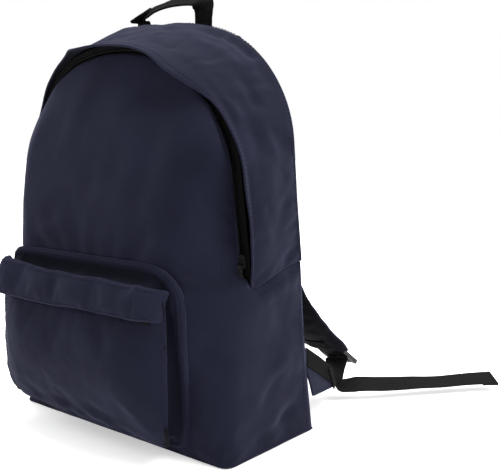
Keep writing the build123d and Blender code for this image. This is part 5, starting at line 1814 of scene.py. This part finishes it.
    # webbing from the lock to the fold, then the free tail
    drop = [LKp - gd * 6.0, LKp - gd * 16.0, FOLDp + gd * 26 + nd * 0.6, FOLDp + gd * 12, FOLDp + gd * 5.0 + dd_ * 0.6, FOLDp + dd_ * 3.0 + gd * 1.2, FOLDp + dd_ * 9.0, FOLDp + dd_ * 20.0]
    Wd = [gw_, gw_, gw_, gw_, gw_ * 0.75 + twd * 0.25, gw_ * 0.4 + twd * 0.6, twd, twd]
    Ltail = float(np.linalg.norm(TEND - FOLDp))
    for f in np.linspace(0.16, 1.0, 9):
        hgt = 1.6 * math.sin(f * 7.5) + 0.8 * math.sin(f * 17.0)
        sway = 1.8 * math.sin(f * 5.2 + 0.6)
        drop.append(FOLDp + dd_ * (Ltail * f) + sd_ * sway + np.array([0, 0, max(hgt, -0.5) * (1 - 0.2 * f) + (2.0 * f ** 3)]))
        tw2 = twd * 1.0 + np.array([0, 0, 1.0]) * (-0.10 * math.sin(f * 6.0 + 0.5))
        Wd.append(tw2)
    blt = (bs, bt_, tup(mir(FOLDp + gd * 13, sx)), tup(mir(FOLDp + dd_ * 9, sx)))
    ob_, Pr, Wr, Hr, dr = ribbon("webbing_tail_band_" + side, drop, Wd, 25.0, 1.6, WEB_GREY, None, ["webbing_drop_" + side, "webbing_tail_" + side], n=170, mirror=sx, blend=blt, wob=0.25)
    # folded and sewn end of the tail
    endp = [Pr[-13 + k_] + Hr[-13 + k_] * (1.5 if Hr[-1][2] > 0 else -1.5) for k_ in range(0, 13, 3)]
    k0 = len(Pr) - 10
    eb, EBp, EBw, EBh, EBd = ribbon("tail_end_fold_" + side, mir(np.array([Pr[k0] + Hr[k0] * 1.5, Pr[k0 + 5] + Hr[k0 + 5] * 1.55, Pr[-1] + Hr[-1] * 1.5]), sx),
                                    mir(np.array([Wr[k0], Wr[k0 + 5], Wr[-1]]), sx), 25.2, 1.5, WEB_GREY, bt_, n=16, mirror=sx, wob=0.0)
    rows_ = []
    for k_ in (2, 6):
        kk = min(k0 + k_, len(Pr) - 1)
        rows_.append([Pr[kk] + Wr[kk] * w_ + Hr[kk] * 2.4 for w_ in np.linspace(-10, 10, 8)])
    for q_, row in enumerate(rows_):
        stitches("tail_end_stitching_%s_%d" % (side, q_), np.array(row), np.tile(Hr[-1], (8, 1)), THREAD_K, bt_, pitch=3.0, length=2.2, slot="webbing")

# short tongues that carry the tabs through the seam
for sx, side in ((1, "right"), (-1, "left")):
    tg2, _, _ = plate("tab_tongue_" + side, lambda u, v, sx=sx: mir(np.array([143.4 - 0.0 * u, 63.0 + 5.4 * u - 3.0 * (1 - u), 37.0 + 50.0 * v]), sx),
                      np.linspace(0, 1, 8), np.linspace(0, 1, 22), 4.4, [NAVY], "bag", ["lower_tab_roots"], puff=0.2, seed=70.0 + sx)

# ------------------------------------------------------------------ grab handle: one loop of webbing
X_, Y_, Z_ = np.eye(3)
hp = [(42.5, 22, 412), (42.5, 22, 420), (42.5, 22.2, 428), (42.8, 22.2, 436), (42.0, 22, 442), (38.0, 22, 446.2), (31, 22, 447.6), (20, 22, 448.6), (6, 22, 448.8),
      (-8, 22, 447.6), (-21, 22, 445.2), (-32, 21.8, 442.4), (-39.5, 21.4, 439.6), (-44.2, 21.2, 436.0), (-45.0, 21.4, 431.4), (-43.6, 21.8, 426), (-43, 22, 419), (-43, 22, 412)]
tilt = Y_ * 0.84 + Z_ * 0.54
hwv = [X_, X_, X_, X_ * 0.97 + Y_ * 0.1, X_ * 0.75 + tilt * 0.45, X_ * 0.35 + tilt, tilt, tilt, tilt, tilt, tilt, tilt * 0.9 - X_ * 0.2 + Z_ * 0.1, tilt * 0.75 - X_ * 0.5,
       -X_ * 0.9 + tilt * 0.45, -X_ + Y_ * 0.25, -X_ + Y_ * 0.1, -X_, -X_]
for q_ in range(1, len(hwv)):
    if np.dot(hwv[q_], hwv[q_ - 1]) < 0:
        hwv[q_] = -hwv[q_]
BLH = ("bag", "carry_handle", (0, 0.022, 0.4252), (0, 0.022, 0.4322))
hd, HP, HW, HH, HD = ribbon("handle_webbing", hp, hwv, 23.0, 2.2, WEB, None, ["grab_handle", "handle_feet"], n=170, blend=BLH, wob=0.1)
# the doubled corner that sticks out where the loop turns down on the left
cp = [(-36, 20.5, 443.6), (-44, 19.6, 440.2), (-51.0, 18.6, 435.6), (-54.6, 18.4, 432.6)]
cw = [tilt * 1.0 + X_ * 0.1, tilt + X_ * 0.15, tilt + X_ * 0.3, tilt + X_ * 0.45]
ribbon("handle_fold_corner", cp, cw, 17.0, 3.4, WEB, "carry_handle", n=24, wob=0.0)
for xx, nm in ((42.5, "right"), (-43.0, "left")):
    pts_ = []
    for p0_, p1_ in (((-8, 415), (8, 415)), ((8, 415), (8, 422)), ((8, 422), (-8, 422)), ((-8, 422), (-8, 415)), ((-8, 415), (8, 422))):
        for f in np.linspace(0, 1, 6)[:-1]:
            pts_.append((xx + p0_[0] * (1 - f) + p1_[0] * f, 20.7, p0_[1] * (1 - f) + p1_[1] * f))
    stitches("handle_bar_tack_" + nm, pts_, [(0, -1, 0)] * len(pts_), THREAD_K, "bag", pitch=2.6, length=2.2, slot="webbing")

# ------------------------------------------------------------------ camera, light, floor
sc = bpy.context.scene


def lock_down():
    az, el, dist = math.radians(41.5), math.radians(6.6), 0.9
    tgt = Vector((0.0, 0.060, 0.200))
    back = Vector((math.sin(az) * math.cos(el), -math.cos(az) * math.cos(el), math.sin(el)))
    cam = bpy.data.cameras.new("camera")
    ob = bpy.data.objects.new("camera", cam)
    sc.collection.objects.link(ob)
    ob.location = tgt + back * dist
    ob.rotation_euler = (-back).to_track_quat("-Z", "Y").to_euler()
    cam.lens = 790.0 / 500.0 * 36.0
    cam.sensor_width = 36.0
    cam.shift_x = (250.0 - 197.0) / 500.0
    cam.shift_y = -(237.0 - 231.0) / 500.0
    cam.clip_start, cam.clip_end = 0.05, 30.0
    sc.camera = ob


lock_down()


def area(name, loc, to, size, power, col=(1, 1, 1)):
    d = bpy.data.lights.new(name, "AREA")
    d.shape = "RECTANGLE"
    d.size, d.size_y = size
    d.energy = power
    d.color = col
    o = bpy.data.objects.new(name, d)
    sc.collection.objects.link(o)
    o.location = loc
    o.rotation_euler = (Vector(to) - Vector(loc)).to_track_quat("-Z", "Y").to_euler()


area("key", (1.5, 0.15, 2.3), (0, 0, 0.25), (1.3, 1.3), 54)
area("top", (-0.1, 0.35, 2.6), (0, 0, 0.2), (1.6, 1.6), 76)
area("fill", (-1.9, -1.3, 1.3), (0, 0, 0.2), (1.6, 1.6), 14)
area("side", (2.4, -0.6, 0.9), (0, 0, 0.2), (1.2, 1.2), 6)

w = bpy.data.worlds.new("studio")
sc.world = w
w.use_nodes = True
w.node_tree.nodes["Background"].inputs[0].default_value = (1, 1, 1, 1)
w.node_tree.nodes["Background"].inputs[1].default_value = 1.0
sc.view_settings.view_transform = "Standard"

k = Nodes("floor_paint")
k.b.inputs["Roughness"].default_value = 0.9
k.b.inputs["Specular IOR Level"].default_value = 0.1
k.b.inputs["Emission Color"].default_value = (1, 1, 1, 1)
k.b.inputs["Emission Strength"].default_value = 0.42
co = k.n("ShaderNodeTexCoord")
nz_ = k.n("ShaderNodeTexNoise")
nz_.inputs["Scale"].default_value = 3.0
k.l(co.outputs["Object"], nz_.inputs["Vector"])
rp = k.n("ShaderNodeValToRGB")
rp.color_ramp.elements[0].color = (0.90, 0.90, 0.90, 1)
rp.color_ramp.elements[1].color = (0.93, 0.93, 0.93, 1)
k.l(nz_.outputs["Fac"], rp.inputs["Fac"])
k.l(rp.outputs["Color"], k.b.inputs["Base Color"])
fl = make("floor", [(-9000, -9000, 0), (9000, -9000, 0), (9000, 9000, 0), (-9000, 9000, 0)], [(0, 1, 2, 3)], [k.m], smooth=False)

# ------------------------------------------------------------------ hard parts that keep their modelled shape
for o in list(bpy.data.objects):
    if o.type != "MESH" or not o.material_slots:
        continue
    pick = None
    if o.name.startswith(("main_slider", "main_pull", "pocket_slider", "pocket_pull", "pocket_zip_stops")):
        pick = ZMETAL
    elif o.name.startswith("ladder_lock"):
        pick = PLASTIC
    if pick is not None:
        for s_ in o.material_slots:
            s_.material = pick
